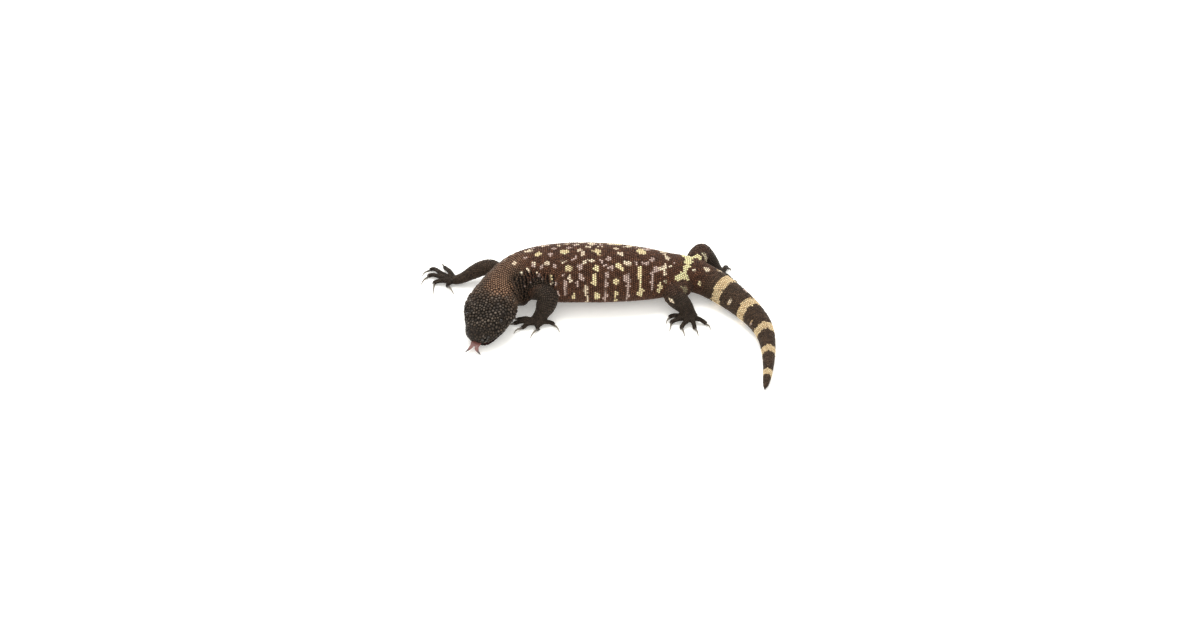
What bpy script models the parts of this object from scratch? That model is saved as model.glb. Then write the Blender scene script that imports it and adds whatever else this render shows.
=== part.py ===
"""Guatemalan beaded lizard, life size, resting on its belly with its head low and its tongue out.

Metres, +Z up, floor at z = 0, origin in the middle of the footprint. The head end points to -X and the
tail curls round on the right, so the animal's left side faces -Y. Body sizes are written in millimetres.
"""

import math

import bmesh
import bpy
import numpy as np
from mathutils import Matrix, Vector

MM = 0.001
GAP = 0.3
FLOOR = 0.0

# The spine, from the tip of the snout to the tip of the tail: x, y, z in mm
SPINE = [
    (-137.8, -46, 12.2),
    (-127.2, -21.7, 21),
    (-119.6, 6.1, 30),
    (-108.2, 32.6, 34.5),
    (-84, 54.5, 34),
    (-48, 61, 32.5),
    (-15.5, 61, 33),
    (16, 60.5, 33),
    (48, 61, 31.5),
    (80.5, 63, 29),
    (102, 65.5, 27),
    (120.5, 67.5, 25),
    (136.5, 64.5, 22),
    (161, 48.5, 18),
    (192.5, 11, 14.7),
    (209, -24, 11.7),
    (211, -57, 8.3),
    (206, -93, 5.3),
    (199.5, -119.5, 3.2),
]

# Half width, rise above the spine and drop below it at a distance from the snout, in mm
BODY_GIRTH = [
    (0, 6.5, 3.2, 3.0),
    (1.6, 11.0, 6.2, 5.2),
    (4, 14.6, 8.6, 6.8),
    (9, 18.2, 10.8, 8.4),
    (16, 21.6, 12.6, 10.2),
    (25, 26.2, 14.2, 12.2),
    (35, 29.3, 15.4, 13.8),
    (45, 31.0, 16.2, 15.0),
    (54, 31.2, 16.6, 15.8),
    (64, 29.6, 17.2, 18.0),
    (76, 27.4, 18.4, 24.0),
    (88, 26.8, 20.2, 28.5),
    (101, 29.2, 23.0, 29.0),
    (115, 33.0, 26.0, 29.5),
    (131, 36.5, 29.0, 31.5),
    (149, 39.5, 32.3, 33.6),
    (181, 41.8, 34.2, 34.4),
    (213, 41.5, 34.4, 34.4),
    (245, 39.5, 32.9, 32.7),
    (277, 35.5, 29.6, 30.0),
    (299, 31.0, 25.5, 27.4),
    (318, 26.5, 22.5, 24.5),
    (334, 22.5, 20.5, 20.5),
    (350, 20.3, 19.2, 19.0),
    (366, 19.2, 18.4, 18.0),
    (413, 15.8, 15.2, 15.1),
    (452, 12.6, 12.0, 12.1),
    (485, 9.0, 8.7, 8.7),
    (521, 6.1, 5.8, 5.7),
    (536, 4.9, 4.7, 4.6),
    (546, 3.7, 3.6, 3.5),
    (552.5, 2.3, 2.3, 2.2),
    (555.7, 1.1, 1.1, 1.1),
]
BELLY_SQUARENESS = 2.04
SAG_RISE, SAG_ALONG, SAG_LENGTH = 6.5, 96, 15
SAG_TURN, SAG_ROUND = math.radians(130), 0.45
BACK_SQUARENESS = 2.1

# Where the body is parted into nodes, as distances from the snout
HEAD_END = 66
NECK_END = 112
TORSO_MIDDLE = 218
VENT = 341
TAIL_PARTS = (395, 446, 497)

# The beads of the skin: height of a bead, and how far the ring of skin round it is sunk
BEAD_HEIGHTS = {"head": 1.0, "neck": 1.0, "torso": 1.1, "tail": 0.95, "tail_end": 0.5, "limb": 0.7}
BEAD_SINK = 0.25
BELLY_BEGINS = math.radians(112)
BELLY_FULL = math.radians(140)
CROWDING_ON_BACK = 0.28

# How fine each node's lattice is: points round a ring, a multiple of 3, and mm from ring to ring
HEAD_AROUND, HEAD_PITCH = 36, 3.4
NECK_AROUND, NECK_PITCH = 36, 4.4
TORSO_AROUND, TORSO_PITCH = 45, 4.9
TAIL_AROUND, TAIL_PITCH = (24, 21, 18, 12), (5.2, 5.2, 4.8, 4.4)
LIMB_AROUND, LIMB_PITCH = 15, 4.6
PALM_AROUND, PALM_PITCH = 14, 4.2
DIGIT_AROUND, DIGIT_RINGS = 7, 8
CLAW_AROUND, CLAW_RINGS = 6, 6
TONGUE_AROUND, TONGUE_RINGS = 16, 8
TINE_AROUND, TINE_RINGS = 8, 8
LID_AROUND, LID_SIDES = 14, 6

# Edges sharper than this stay sharp, and points closer than this, in metres, are one
SHARP_EDGE = math.radians(50)
WELD = 0.000004

# The head
SNOUT_RINGS = (0, 0.9, 2.2, 4.0, 6.2)
MOUTH_HEIGHT = -1.6
MOUTH_SLOPE = -0.055
MOUTH_CORNER = 41
JAW_OPEN = math.radians(6)
LIP_RISE = 0.7
LIP_OFFSET = 1.9
EYE_ALONG = 29.5
EYE_TURN = math.radians(51)
EYE_RADIUS = 3.4
EYE_PROUD = 1.2
LID_THICKNESS = 1.1
LID_SINK = 0.45
LID_NARROWING = 0.86
NOSTRIL_ALONG = 4.2
NOSTRIL_TURN = math.radians(60)
NOSTRIL_HALF = (1.5, 1.3, 1.2)
EAR_ALONG = 50.5
EAR_TURN = math.radians(97)
EAR_HALF = (1.5, 3.2, 2.2)
HEAD_FRAME_ALONG = 20

# The block that parts the jaws reaches this far from the corner of the mouth, in mm
CUT_ASIDE = 70
CUT_LOW = (-70, -CUT_ASIDE, -40)

# The tongue, in the frame of the head: distance from the snout, and height
TONGUE_ROOT = 15
TONGUE_HALF_WIDTH = 6.6
TONGUE_FORK = (-5.0, -4.0)
TONGUE_ASIDE = -0.8
TINE_BURIED, TINE_STRAIGHT = 3.5, 4.5
TINE_ASIDE, TINE_SPREAD = 2.8, 0.6
TINE_GIRTH = ((0, 2.0, 0.45), (0.4, 2.5, 1.0), (0.7, 1.5, 0.8), (1, 0.4, 0.4))
TONGUE_TIPS = ((-150.3, -53.9, 1.4), (-131.3, -58.3, 1.4))

# The nodes of each kind of limb, from the body outward
LIMB_NODES = {"arm": ("upper_arm", "forearm", "hand"), "leg": ("thigh", "shin", "foot")}

# The middle line of each limb, from its root inside the body to the middle of its palm, in mm
LIMBS = {
    "arm_left": [
        (-73, 40, 30),
        (-62.5, 28, 30),
        (-54, 19, 28.5),
        (-56, 10, 20),
        (-61, 4, 12.5),
        (-67.5, -2.5, 5.6),
    ],
    "arm_right": [
        (-86, 64, 17),
        (-108, 72, 11.5),
        (-129, 86, 22),
        (-147, 86.5, 17.5),
        (-163.5, 81, 11),
        (-176.5, 81.5, 5.6),
    ],
    "leg_left": [
        (119, 56, 22),
        (110, 42, 23),
        (102.5, 31.5, 22.5),
        (109, 22.5, 18),
        (118, 14.5, 12),
        (122.5, 7, 5.6),
    ],
    "leg_right": [
        (126, 75, 26),
        (136, 92, 32),
        (143.5, 103, 33),
        (151, 102.5, 24),
        (160, 98, 13),
        (167, 93, 5.2),
    ],
}
LIMB_FULLNESS = {"arm_left": 1.0, "arm_right": 0.8, "leg_left": 1.0, "leg_right": 0.93}
ARM_GIRTH = (12.5, 13.6, 13.2, 12.0, 9.0, 9.5)
LEG_GIRTH = (13.5, 14.2, 13.2, 12.2, 9.6, 10.0)
PALM_FLATNESS = 0.58
PALM_FRONT = 6.5
ELBOW = 0.5
WRIST = 0.83
LIMB_STIFFNESS = 15
BARE_ROUND_ROOT = (13, 17)
BURIED_SHARE = 0.45

# Each digit's tip on the floor plan and the tip of its claw, from the first digit to the fifth, in mm
DIGITS = {
    "arm_left": [
        ((-91, 6), (-99.5, 7)),
        ((-95.5, -2.5), (-105, -6)),
        ((-85, -11), (-94.5, -18.5)),
        ((-66, -14), (-74, -27.5)),
        ((-46, -4.5), (-38, -17)),
    ],
    "arm_right": [
        ((-185, 71.5), (-175.5, 56.5)),
        ((-203.5, 76.5), (-202.5, 58)),
        ((-213.2, 92), (-221, 77)),
        ((-212.5, 106), (-222.4, 95)),
        ((-194.5, 112.5), (-199, 119.5)),
    ],
    "leg_left": [
        ((97.5, 9), (92.5, -0.5)),
        ((99, -2), (96.2, -15.5)),
        ((111.5, -12), (114.2, -24.5)),
        ((127.8, -12.5), (131, -23.5)),
        ((141.8, -3), (147, -11.8)),
    ],
    "leg_right": [
        ((160, 109), (156, 116.5)),
        ((169, 112), (167.5, 120)),
        ((179.5, 110.5), (184, 105)),
        ((183, 84), (189.5, 79)),
        ((174.5, 77), (178, 70)),
    ],
}
DIGIT_ROOT_SHARE = 0.12
DIGIT_KNUCKLE_SHARE = 0.62
DIGIT_KNUCKLE_HEIGHT = 6.4
DIGIT_TIP_HEIGHT = 2.8
DIGIT_GIRTH = (3.6, 3.0, 2.6, 2.5, 1.7)
CLAW_GIRTH = (1.9, 1.7, 1.4, 1.0, 0.4)
PAD_LENGTH = 1.6
CLAW_ARCH = 2.2
CLAW_STRAIGHT = 1.6
CLAW_TIP_HEIGHT = 0.45

LOOKS = {
    "head": ((0.035, 0.030, 0.028), 0.55),
    "body": ((0.085, 0.048, 0.040), 0.6),
    "tail": ((0.062, 0.042, 0.034), 0.6),
    "limb": ((0.036, 0.030, 0.027), 0.6),
    "claw": ((0.42, 0.36, 0.27), 0.35),
    "eye": ((0.012, 0.010, 0.010), 0.08),
    "tongue": ((0.33, 0.12, 0.11), 0.3),
}


def natural_spline(stops, values):
    """A curve of continuous curvature through values at stops, as a function of distance."""
    stops = np.array(stops, float)
    values = np.array(values, float)
    step = np.diff(stops)
    slope = np.diff(values, axis=0) / step[:, None]
    system = np.eye(len(stops))
    right = np.zeros_like(values)
    for i in range(1, len(stops) - 1):
        system[i, i - 1 : i + 2] = step[i - 1], 2 * (step[i - 1] + step[i]), step[i]
        right[i] = 6 * (slope[i] - slope[i - 1])
    bend = np.linalg.solve(system, right)

    def at(distance):
        distance = np.atleast_1d(np.asarray(distance, float))
        i = np.clip(np.searchsorted(stops, distance) - 1, 0, len(step) - 1)
        h = step[i][:, None]
        before = (distance - stops[i])[:, None]
        after = h - before
        curved = (bend[i] * after**3 + bend[i + 1] * before**3) / (6 * h)
        from_start = (values[i] / h - bend[i] * h / 6) * after
        from_end = (values[i + 1] / h - bend[i + 1] * h / 6) * before
        return curved + from_start + from_end

    return at


def eased(stops, values):
    """A curve through values at stops that never swings past them, as a function of distance."""
    stops = np.array(stops, float)
    values = np.array(values, float)
    step = np.diff(stops)[:, None]
    slope = np.diff(values, axis=0) / step
    tangent = np.zeros_like(values)
    same_way = slope[:-1] * slope[1:] > 0
    mean = 2 * slope[:-1] * slope[1:] / np.where(same_way, slope[:-1] + slope[1:], 1)
    tangent[1:-1] = np.where(same_way, mean, 0)
    tangent[0], tangent[-1] = slope[0], slope[-1]

    def at(distance):
        distance = np.atleast_1d(np.asarray(distance, float))
        i = np.clip(np.searchsorted(stops, distance) - 1, 0, len(step) - 1)
        h = step[i]
        t = np.clip((distance - stops[i])[:, None] / h, 0, 1)
        start = (1 + 2 * t) * (1 - t) ** 2 * values[i] + t * (1 - t) ** 2 * h * tangent[i]
        end = t**2 * (3 - 2 * t) * values[i + 1] + t**2 * (t - 1) * h * tangent[i + 1]
        return start + end

    return at


def bell(offset, width):
    return np.exp(-((offset / width) ** 2))


def ramp(value, low, high):
    t = np.clip((value - low) / (high - low), 0, 1)
    return t * t * (3 - 2 * t)


def unit(vector):
    vector = np.asarray(vector, float)
    return vector / np.linalg.norm(vector)


class Sweep:
    """An oval section carried along a curved line: the body, a limb, a digit or a claw."""

    def __init__(self, path, girth, relief=None, back=2.0, belly=2.0, stiffness=1.0):
        path = np.array(path, float)
        steps = np.linalg.norm(np.diff(path, axis=0), axis=1)
        self.stops = np.concatenate([[0], np.cumsum(steps)])
        self.length = self.stops[-1]
        self.centre = natural_spline(self.stops, path)
        girth = np.array(girth, float)
        self.girth = eased(girth[:, 0], girth[:, 1:])
        self.relief = relief
        self.back = back
        self.belly = belly
        self.stiffness = stiffness

    def frame(self, along):
        """Centre, direction away from the root, left and up at one distance. The direction is that of a
        chord, so that in a tight bend the sections turn slowly and none crosses the next."""
        centre = self.centre(along)[0]
        ahead = self.centre(min(along + self.stiffness, self.length))[0]
        away = unit(ahead - self.centre(max(along - self.stiffness, 0))[0])
        up = unit(np.array([0, 0, 1.0]) - away[2] * away)
        return centre, away, np.cross(away, up), up

    def section(self, along, turn):
        """Sideways and upward offsets at each angle from the top, and the outward direction there."""
        half_width, rise, drop = self.girth(along)[0]
        power = np.where(np.cos(turn) > 0, 2 / self.back, 2 / self.belly)
        height = np.where(np.cos(turn) > 0, rise, drop)
        aside = half_width * np.sign(np.sin(turn)) * np.abs(np.sin(turn)) ** power
        upward = height * np.sign(np.cos(turn)) * np.abs(np.cos(turn)) ** power
        normal = np.stack([aside / half_width**2, upward / height**2], 1)
        normal /= np.linalg.norm(normal, axis=1)[:, None]
        return aside, upward, normal

    def ring(self, along, turn, lift=0.0, shift=0.0):
        """Points round the section at a distance, lifted off the surface, and shifted along the line."""
        turn = np.asarray(turn, float)
        centre, away, left, up = self.frame(along)
        aside, upward, normal = self.section(along, turn)
        if self.relief:
            lift = lift + self.relief(along, turn, upward)
        aside = aside + lift * normal[:, 0]
        upward = upward + lift * normal[:, 1]
        offset = aside[:, None] * left + upward[:, None] * up
        points = centre + offset + shift * away
        points[:, 2] = np.maximum(points[:, 2], FLOOR)
        return points


def mouth_height(along):
    return MOUTH_HEIGHT + MOUTH_SLOPE * along


def head_relief(along, turn, upward):
    """Brows, hollows before the eyes, cheeks and lips, in mm off the plain section."""
    side = np.abs(np.arctan2(np.sin(turn), np.cos(turn)))
    brow = 1.3 * bell(along - 28, 8) * bell(side - math.radians(36), 0.24)
    hollow = -0.9 * bell(along - 17, 6) * bell(side - math.radians(62), 0.3)
    cheek = 1.3 * bell(along - 44, 9) * bell(side - math.radians(84), 0.5)
    nape = -0.8 * bell(along - 60, 7) * bell(side, 0.8)
    from_mouth = upward - mouth_height(along)
    lips = LIP_RISE * (bell(from_mouth - LIP_OFFSET, 1.3) + bell(from_mouth + LIP_OFFSET, 1.3))
    lips = lips * ramp(MOUTH_CORNER + 3 - along, 0, 5) * ramp(along, 1, 5)
    return brow + hollow + cheek + nape + lips


def body_relief(along, turn, upward):
    """The head's forms, then the folds of loose skin on the neck and the sag in front of each arm."""
    side = np.abs(np.arctan2(np.sin(turn), np.cos(turn)))
    sag = SAG_RISE * bell(along - SAG_ALONG, SAG_LENGTH) * bell(side - SAG_TURN, SAG_ROUND)
    if along < 75:
        return head_relief(along, turn, upward) + sag
    left_side = bell(turn - math.radians(95), 0.8) + bell(turn - math.radians(95) - 2 * math.pi, 0.8)
    fold = np.cos((along - 82) / 7.5 * math.pi) * bell(along - 97, 16)
    return 0.7 * fold * (0.35 + left_side) + sag


BODY = Sweep(SPINE, BODY_GIRTH, body_relief, BACK_SQUARENESS, BELLY_SQUARENESS)


def limb_sweep(name):
    """One limb from inside the body to the front of its palm. The palm is flat and the rest is round."""
    path = LIMBS[name]
    steps = np.linalg.norm(np.diff(np.array(path, float), axis=0), axis=1)
    stops = np.concatenate([[0], np.cumsum(steps)])
    halves = LIMB_FULLNESS[name] * np.array(ARM_GIRTH if name.startswith("arm") else LEG_GIRTH)
    girth = [(s, half, half * 0.95, half * 0.95) for s, half in zip(stops, halves)]
    palm = halves[-1]
    girth[-1] = (stops[-1], palm, palm * PALM_FLATNESS, palm * PALM_FLATNESS)
    end = (stops[-1] + PALM_FRONT, palm * 0.72, palm * 0.36, palm * 0.36)
    ahead = np.array(path[-1], float) + PALM_FRONT * unit(np.array(path[-1]) - np.array(path[-2])) * (1, 1, 0)
    return Sweep([*path, tuple(ahead)], [*girth, end], stiffness=LIMB_STIFFNESS)


def new_object(name, points, faces, look, origin=None, smooth=True):
    """A closed mesh from points in mm, placed by its own origin."""
    points = np.asarray(points, float) * MM
    origin = points.mean(axis=0) if origin is None else np.asarray(origin, float) * MM
    mesh = bpy.data.meshes.new(name)
    mesh.from_pydata([tuple(p) for p in points - origin], [], faces)
    mesh.update()
    obj = bpy.data.objects.new(name, mesh)
    obj.location = origin
    bpy.context.scene.collection.objects.link(obj)
    mesh.materials.append(finish(look))
    if smooth:
        shade(obj)
    return obj


def shade(obj):
    obj.data.shade_smooth()
    obj.data.set_sharp_from_angle(angle=SHARP_EDGE)


def finish(look):
    """The plain material of one kind of surface, made once."""
    found = bpy.data.materials.get(look)
    if found:
        return found
    colour, roughness = LOOKS[look]
    material = bpy.data.materials.new(look)
    material.use_nodes = True
    shader = material.node_tree.nodes["Principled BSDF"]
    shader.inputs["Base Color"].default_value = (*colour, 1)
    shader.inputs["Roughness"].default_value = roughness
    shader.inputs["Metallic"].default_value = 0
    return material


def stitch(rings, staggered):
    """Faces that join rings of equal size, one after the other, and cap both ends. A staggered ring lies
    half a step on from the one before it."""
    count = len(rings[0])
    faces = [tuple(reversed(range(count)))]
    for r in range(len(rings) - 1):
        here, there = r * count, (r + 1) * count
        for k in range(count):
            after = (k + 1) % count
            if staggered:
                faces.append((here + k, here + after, there + k))
                faces.append((here + after, there + after, there + k))
            else:
                faces.append((here + k, here + after, there + after, there + k))
    faces.append(tuple(range((len(rings) - 1) * count, len(rings) * count)))
    return faces


def crowded(u):
    """Angle from the top for a share of the way round, with the steps closer on the back."""
    return 2 * math.pi * u - CROWDING_ON_BACK * np.sin(2 * math.pi * u)


def above_belly(turn):
    """1 on the back and the sides, falling to 0 on the flat scales of the belly."""
    side = np.abs(np.arctan2(np.sin(turn), np.cos(turn)))
    return 1 - ramp(side, BELLY_BEGINS, BELLY_FULL)


def beaded(name, sweep, stops, around, look, beads, bare=None, grow=0.0):
    """A stretch of skin as a lattice of triangles, in which every third point stands up as a bead with
    six low ones round it. The two end rings are flat and lie half a gap inside their distances."""
    rings = []
    for r, along in enumerate(stops):
        k = np.arange(around)
        turn = crowded((k + r / 2) / around)
        last = r == len(stops) - 1
        shift = (GAP / 2 - grow) * (int(r == 0) - int(last))
        height = 0 * turn if r == 0 or last else BEAD_HEIGHTS[beads] * above_belly(turn)
        if bare is not None:
            height = height * bare(along, turn)
        lift = np.where((k - r) % 3 == 0, height, -BEAD_SINK * height)
        rings.append(sweep.ring(along, turn, lift + grow, shift))
    centre = sweep.centre(stops[0])[0]
    return new_object(name, np.concatenate(rings), stitch(rings, True), look, centre)


def tube(name, sweep, stops, around, look, shift=(0, 0)):
    """A plain stretch with rings that aren't staggered, for palms, digits, claws and the tongue."""
    turn = np.arange(around) / around * 2 * math.pi
    ends = {0: shift[0], len(stops) - 1: shift[1]}
    rings = [sweep.ring(along, turn, 0.0, ends.get(r, 0)) for r, along in enumerate(stops)]
    return new_object(name, np.concatenate(rings), stitch(rings, False), look, sweep.centre(stops[0])[0])


def ball(name, centre, half, axes, look="eye", fineness=2):
    """A faceted ball or egg, its half sizes given along three axes."""
    bm = bmesh.new()
    bmesh.ops.create_icosphere(bm, subdivisions=fineness, radius=1)
    turned = np.array(axes, float)
    points = [np.array(v.co) * half @ turned + centre for v in bm.verts]
    faces = [tuple(v.index for v in f.verts) for f in bm.faces]
    bm.free()
    if np.linalg.det(turned) < 0:
        faces = [tuple(reversed(f)) for f in faces]
    return new_object(name, points, faces, look, centre)


def hide(obj):
    """Marks a cutter, which isn't part of the animal."""
    obj.hide_render = True
    obj.display_type = "WIRE"
    return obj


def group(objects):
    """A collection that holds only these objects, for a Boolean to use at once."""
    made = bpy.data.collections.new("pieces")
    bpy.context.scene.collection.children.link(made)
    for obj in objects:
        for other in list(obj.users_collection):
            other.objects.unlink(obj)
        made.objects.link(obj)
    return made


def combine(obj, operation, pieces):
    """Joins, cuts or crosses obj with all the pieces, applies it, and removes the pieces."""
    collection = group(pieces)
    boolean = obj.modifiers.new(operation.lower(), "BOOLEAN")
    boolean.operation = operation
    boolean.operand_type = "COLLECTION"
    boolean.collection = collection
    boolean.solver = "EXACT"
    boolean.use_self = operation == "UNION"
    settle(obj)
    for piece in pieces:
        bpy.data.objects.remove(piece)
    bpy.data.collections.remove(collection)
    return obj


def settle(obj):
    """Applies the modifiers and keeps the largest closed surface."""
    bpy.context.view_layer.update()
    graph = bpy.context.evaluated_depsgraph_get()
    mesh = bpy.data.meshes.new_from_object(obj.evaluated_get(graph), depsgraph=graph)
    obj.modifiers.clear()
    bm = bmesh.new()
    bm.from_mesh(mesh)
    bmesh.ops.remove_doubles(bm, verts=bm.verts, dist=WELD)
    keep = max(islands(bm), key=spread)
    bmesh.ops.delete(bm, geom=[v for v in bm.verts if v not in keep], context="VERTS")
    bmesh.ops.triangulate(bm, faces=bm.faces)
    bm.to_mesh(mesh)
    bm.free()
    old = obj.data
    obj.data = mesh
    mesh.name = obj.name
    bpy.data.meshes.remove(old)
    shade(obj)


def islands(bm):
    """The sets of points that hang together."""
    left = set(bm.verts)
    while left:
        found = set()
        edge = [left.pop()]
        while edge:
            vert = edge.pop()
            found.add(vert)
            near = {e.other_vert(vert) for e in vert.link_edges} & left
            left -= near
            edge.extend(near)
        yield found


def spread(verts):
    points = np.array([v.co for v in verts])
    return float(np.prod(np.ptp(points, axis=0) + 1e-6))


def even_stops(start, end, pitch):
    count = max(2, round((end - start) / pitch))
    return np.linspace(start, end, count + 1)


def head_point(along, aside, upward):
    """A place in mm given in the frame of the head: back from the snout, to the left and up."""
    centre, away, left, up = BODY.frame(HEAD_FRAME_ALONG)
    tip = centre - HEAD_FRAME_ALONG * away
    return tip + along * away + aside * left + upward * up


def head_axes():
    _, away, left, up = BODY.frame(HEAD_FRAME_ALONG)
    return away, left, up


def head_block(low, high, open_angle):
    """A box in the frame of the head, turned open about the corner of the mouth."""
    away, left, up = (Vector(v) for v in head_axes())
    corners = [(x, y, z) for x in (low[0], high[0]) for y in (low[1], high[1]) for z in (low[2], high[2])]
    slope = math.atan(MOUTH_SLOPE)
    hinge = Vector(head_point(MOUTH_CORNER, 0, mouth_height(MOUTH_CORNER)))
    turn = Matrix.Rotation(open_angle + slope, 3, left)
    points = [hinge + turn @ (x * away + y * left + z * up) for x, y, z in corners]
    faces = [(0, 1, 3, 2), (4, 6, 7, 5), (0, 4, 5, 1), (2, 3, 7, 6), (0, 2, 6, 4), (1, 5, 7, 3)]
    block = new_object("block", [tuple(p) for p in points], faces, "head", smooth=False)
    bm = bmesh.new()
    bm.from_mesh(block.data)
    bmesh.ops.recalc_face_normals(bm, faces=bm.faces)
    bm.to_mesh(block.data)
    bm.free()
    return hide(block)


def on_head(along, turn, side):
    """A place on the head's surface, its outward direction and two directions across it."""
    centre, away, left, up = BODY.frame(along)
    aside, upward, normal = BODY.section(along, np.array([turn]))
    lift = BODY.relief(along, np.array([turn]), upward)[0]
    flat = np.array([aside[0] + lift * normal[0, 0], upward[0] + lift * normal[0, 1]])
    out = side * normal[0, 0] * left + normal[0, 1] * up
    place = centre + side * flat[0] * left + flat[1] * up
    across = np.cross(out, away)
    return place, out, away, across


def lid_ring(side):
    """The swollen rim of the lids round one eye."""
    place, out, away, across = on_head(EYE_ALONG, EYE_TURN, side)
    bm = bmesh.new()
    for i in range(LID_AROUND):
        turn = 2 * math.pi * i / LID_AROUND
        spoke = math.cos(turn) * away + LID_NARROWING * math.sin(turn) * across
        for j in range(LID_SIDES):
            tilt = 2 * math.pi * j / LID_SIDES
            radius = EYE_RADIUS + 0.1 + LID_THICKNESS * math.cos(tilt)
            bm.verts.new(place + radius * spoke + (LID_THICKNESS * math.sin(tilt) - LID_SINK) * out)
    bm.verts.ensure_lookup_table()
    for i in range(LID_AROUND):
        for j in range(LID_SIDES):
            here, there = i * LID_SIDES, (i + 1) % LID_AROUND * LID_SIDES
            after = (j + 1) % LID_SIDES
            a, b = here + j, here + after
            c, d = there + after, there + j
            bm.faces.new([bm.verts[n] for n in (a, b, c, d)])
    bmesh.ops.recalc_face_normals(bm, faces=bm.faces)
    points = [tuple(v.co) for v in bm.verts]
    faces = [tuple(v.index for v in f.verts) for f in bm.faces]
    bm.free()
    return new_object("lid", points, faces, "head")


def eye_ball(name, side, grow):
    place, out, away, across = on_head(EYE_ALONG, EYE_TURN, side)
    centre = place - (EYE_RADIUS - EYE_PROUD) * out
    return ball(name, centre, np.full(3, EYE_RADIUS + grow), (out, away, across))


def pit(along, turn, side, half):
    """A cutter for a nostril or an ear: an egg half sunk in the head."""
    place, out, away, across = on_head(along, turn, side)
    return hide(ball("pit", place, np.array([half[2], half[0], half[1]]), (out, away, across)))


def whole_head(name):
    stops = [*SNOUT_RINGS, *even_stops(SNOUT_RINGS[-1], HEAD_END, HEAD_PITCH)[1:]]
    return beaded(name, BODY, stops, HEAD_AROUND, "head", "head", head_beads)


def head_beads(along, turn):
    """Beads fade out on the snout, over the lips, round the eyes and round the ears."""
    _, upward, _ = BODY.section(along, turn)
    side = np.abs(np.arctan2(np.sin(turn), np.cos(turn)))
    lips = 1 - bell(upward - mouth_height(along), 4.5) * float(along < MOUTH_CORNER + 3)
    eyes = 1 - bell(along - EYE_ALONG, 6) * bell(side - EYE_TURN, 0.4)
    ears = 1 - bell(along - EAR_ALONG, 4) * bell(side - EAR_TURN, 0.2)
    return lips * eyes * ears * ramp(along, 4, 12)


def make_head():
    head = whole_head("head")
    jaw = whole_head("lower_jaw")
    combine(head, "UNION", [lid_ring(1), lid_ring(-1)])
    shut = head_block(CUT_LOW, (GAP, CUT_ASIDE, GAP), 0)
    opened = head_block(CUT_LOW, (GAP, CUT_ASIDE, GAP), JAW_OPEN)
    sockets = [hide(eye_ball("socket", side, GAP)) for side in (1, -1)]
    nostrils = [pit(NOSTRIL_ALONG, NOSTRIL_TURN, side, NOSTRIL_HALF) for side in (1, -1)]
    ears = [pit(EAR_ALONG, EAR_TURN, side, EAR_HALF) for side in (1, -1)]
    combine(head, "DIFFERENCE", [shut, opened, *sockets, *nostrils, *ears])
    keep = head_block(CUT_LOW, (0, CUT_ASIDE, 0), 0)
    combine(jaw, "INTERSECT", [keep])
    swing(jaw, JAW_OPEN)
    eye_ball("eye_left", 1, 0)
    eye_ball("eye_right", -1, 0)


def swing(obj, angle):
    """Turns an object about the corner of the mouth."""
    hinge = Vector(head_point(MOUTH_CORNER, 0, mouth_height(MOUTH_CORNER))) * MM
    turn = Matrix.Rotation(angle, 4, Vector(head_axes()[1]))
    obj.matrix_world = Matrix.Translation(hinge) @ turn @ Matrix.Translation(-hinge) @ obj.matrix_world
    bpy.context.view_layer.update()


def between_jaws(along):
    """Height midway between the palate and the floor of the mouth."""
    return mouth_height(along) - math.tan(JAW_OPEN) * (MOUTH_CORNER - along) / 2


def make_tongue():
    """A flat band from between the jaws, forked into two thin tips that reach down to the floor."""
    fork = head_point(TONGUE_FORK[0], TONGUE_ASIDE, TONGUE_FORK[1])
    lip = head_point(-0.5, TONGUE_ASIDE, between_jaws(-0.5))
    root = head_point(TONGUE_ROOT, TONGUE_ASIDE * 0.6, between_jaws(TONGUE_ROOT))
    middle = head_point(TONGUE_ROOT / 2, TONGUE_ASIDE, between_jaws(TONGUE_ROOT / 2))
    path = [root, middle, lip, fork]
    lengths = np.concatenate([[0], np.cumsum(np.linalg.norm(np.diff(path, axis=0), axis=1))])
    halves = [(TONGUE_HALF_WIDTH * w, t, t) for w, t in ((0.8, 0.5), (0.95, 0.7), (1, 0.95), (0.85, 1.0))]
    band = Sweep(path, [(s, *h) for s, h in zip(lengths, halves)], None, 2.4, 2.4)
    tongue = tube("tongue", band, np.linspace(0, lengths[-1], TONGUE_RINGS), TONGUE_AROUND, "tongue")
    tines = [tine(band, fork, tip, side) for tip, side in zip(TONGUE_TIPS, (1, -1))]
    combine(tongue, "UNION", tines)


def tine(band, fork, tip, side):
    """One prong of the tongue, from well inside the band to its tip."""
    _, away, left, _ = band.frame(band.length)
    begin = np.asarray(fork) - TINE_BURIED * away + side * TINE_ASIDE * left
    path = [begin, begin + TINE_STRAIGHT * away + side * TINE_SPREAD * left, np.array(tip)]
    length = np.linalg.norm(path[1] - path[0]) + np.linalg.norm(path[2] - path[1])
    girth = [(length * share, half, thick, thick) for share, half, thick in TINE_GIRTH]
    return tube("tine", Sweep(path, girth), np.linspace(0, length, TINE_RINGS), TINE_AROUND, "tongue")


def at_limb_roots(along, turn):
    """Beads fade out where a limb grows from the body, so that its root lies close."""
    centre, _, left, up = BODY.frame(along)
    aside, upward, _ = BODY.section(along, turn)
    points = centre + aside[:, None] * left + upward[:, None] * up
    bare = np.ones(len(points))
    for name in LIMBS:
        root = limb_sweep(name)
        line = root.centre(np.linspace(0, root.length * BURIED_SHARE, 8))
        near = np.min(np.linalg.norm(points[:, None] - line[None], axis=2), axis=1)
        bare = np.minimum(bare, ramp(near, *BARE_ROUND_ROOT))
    return bare


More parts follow.
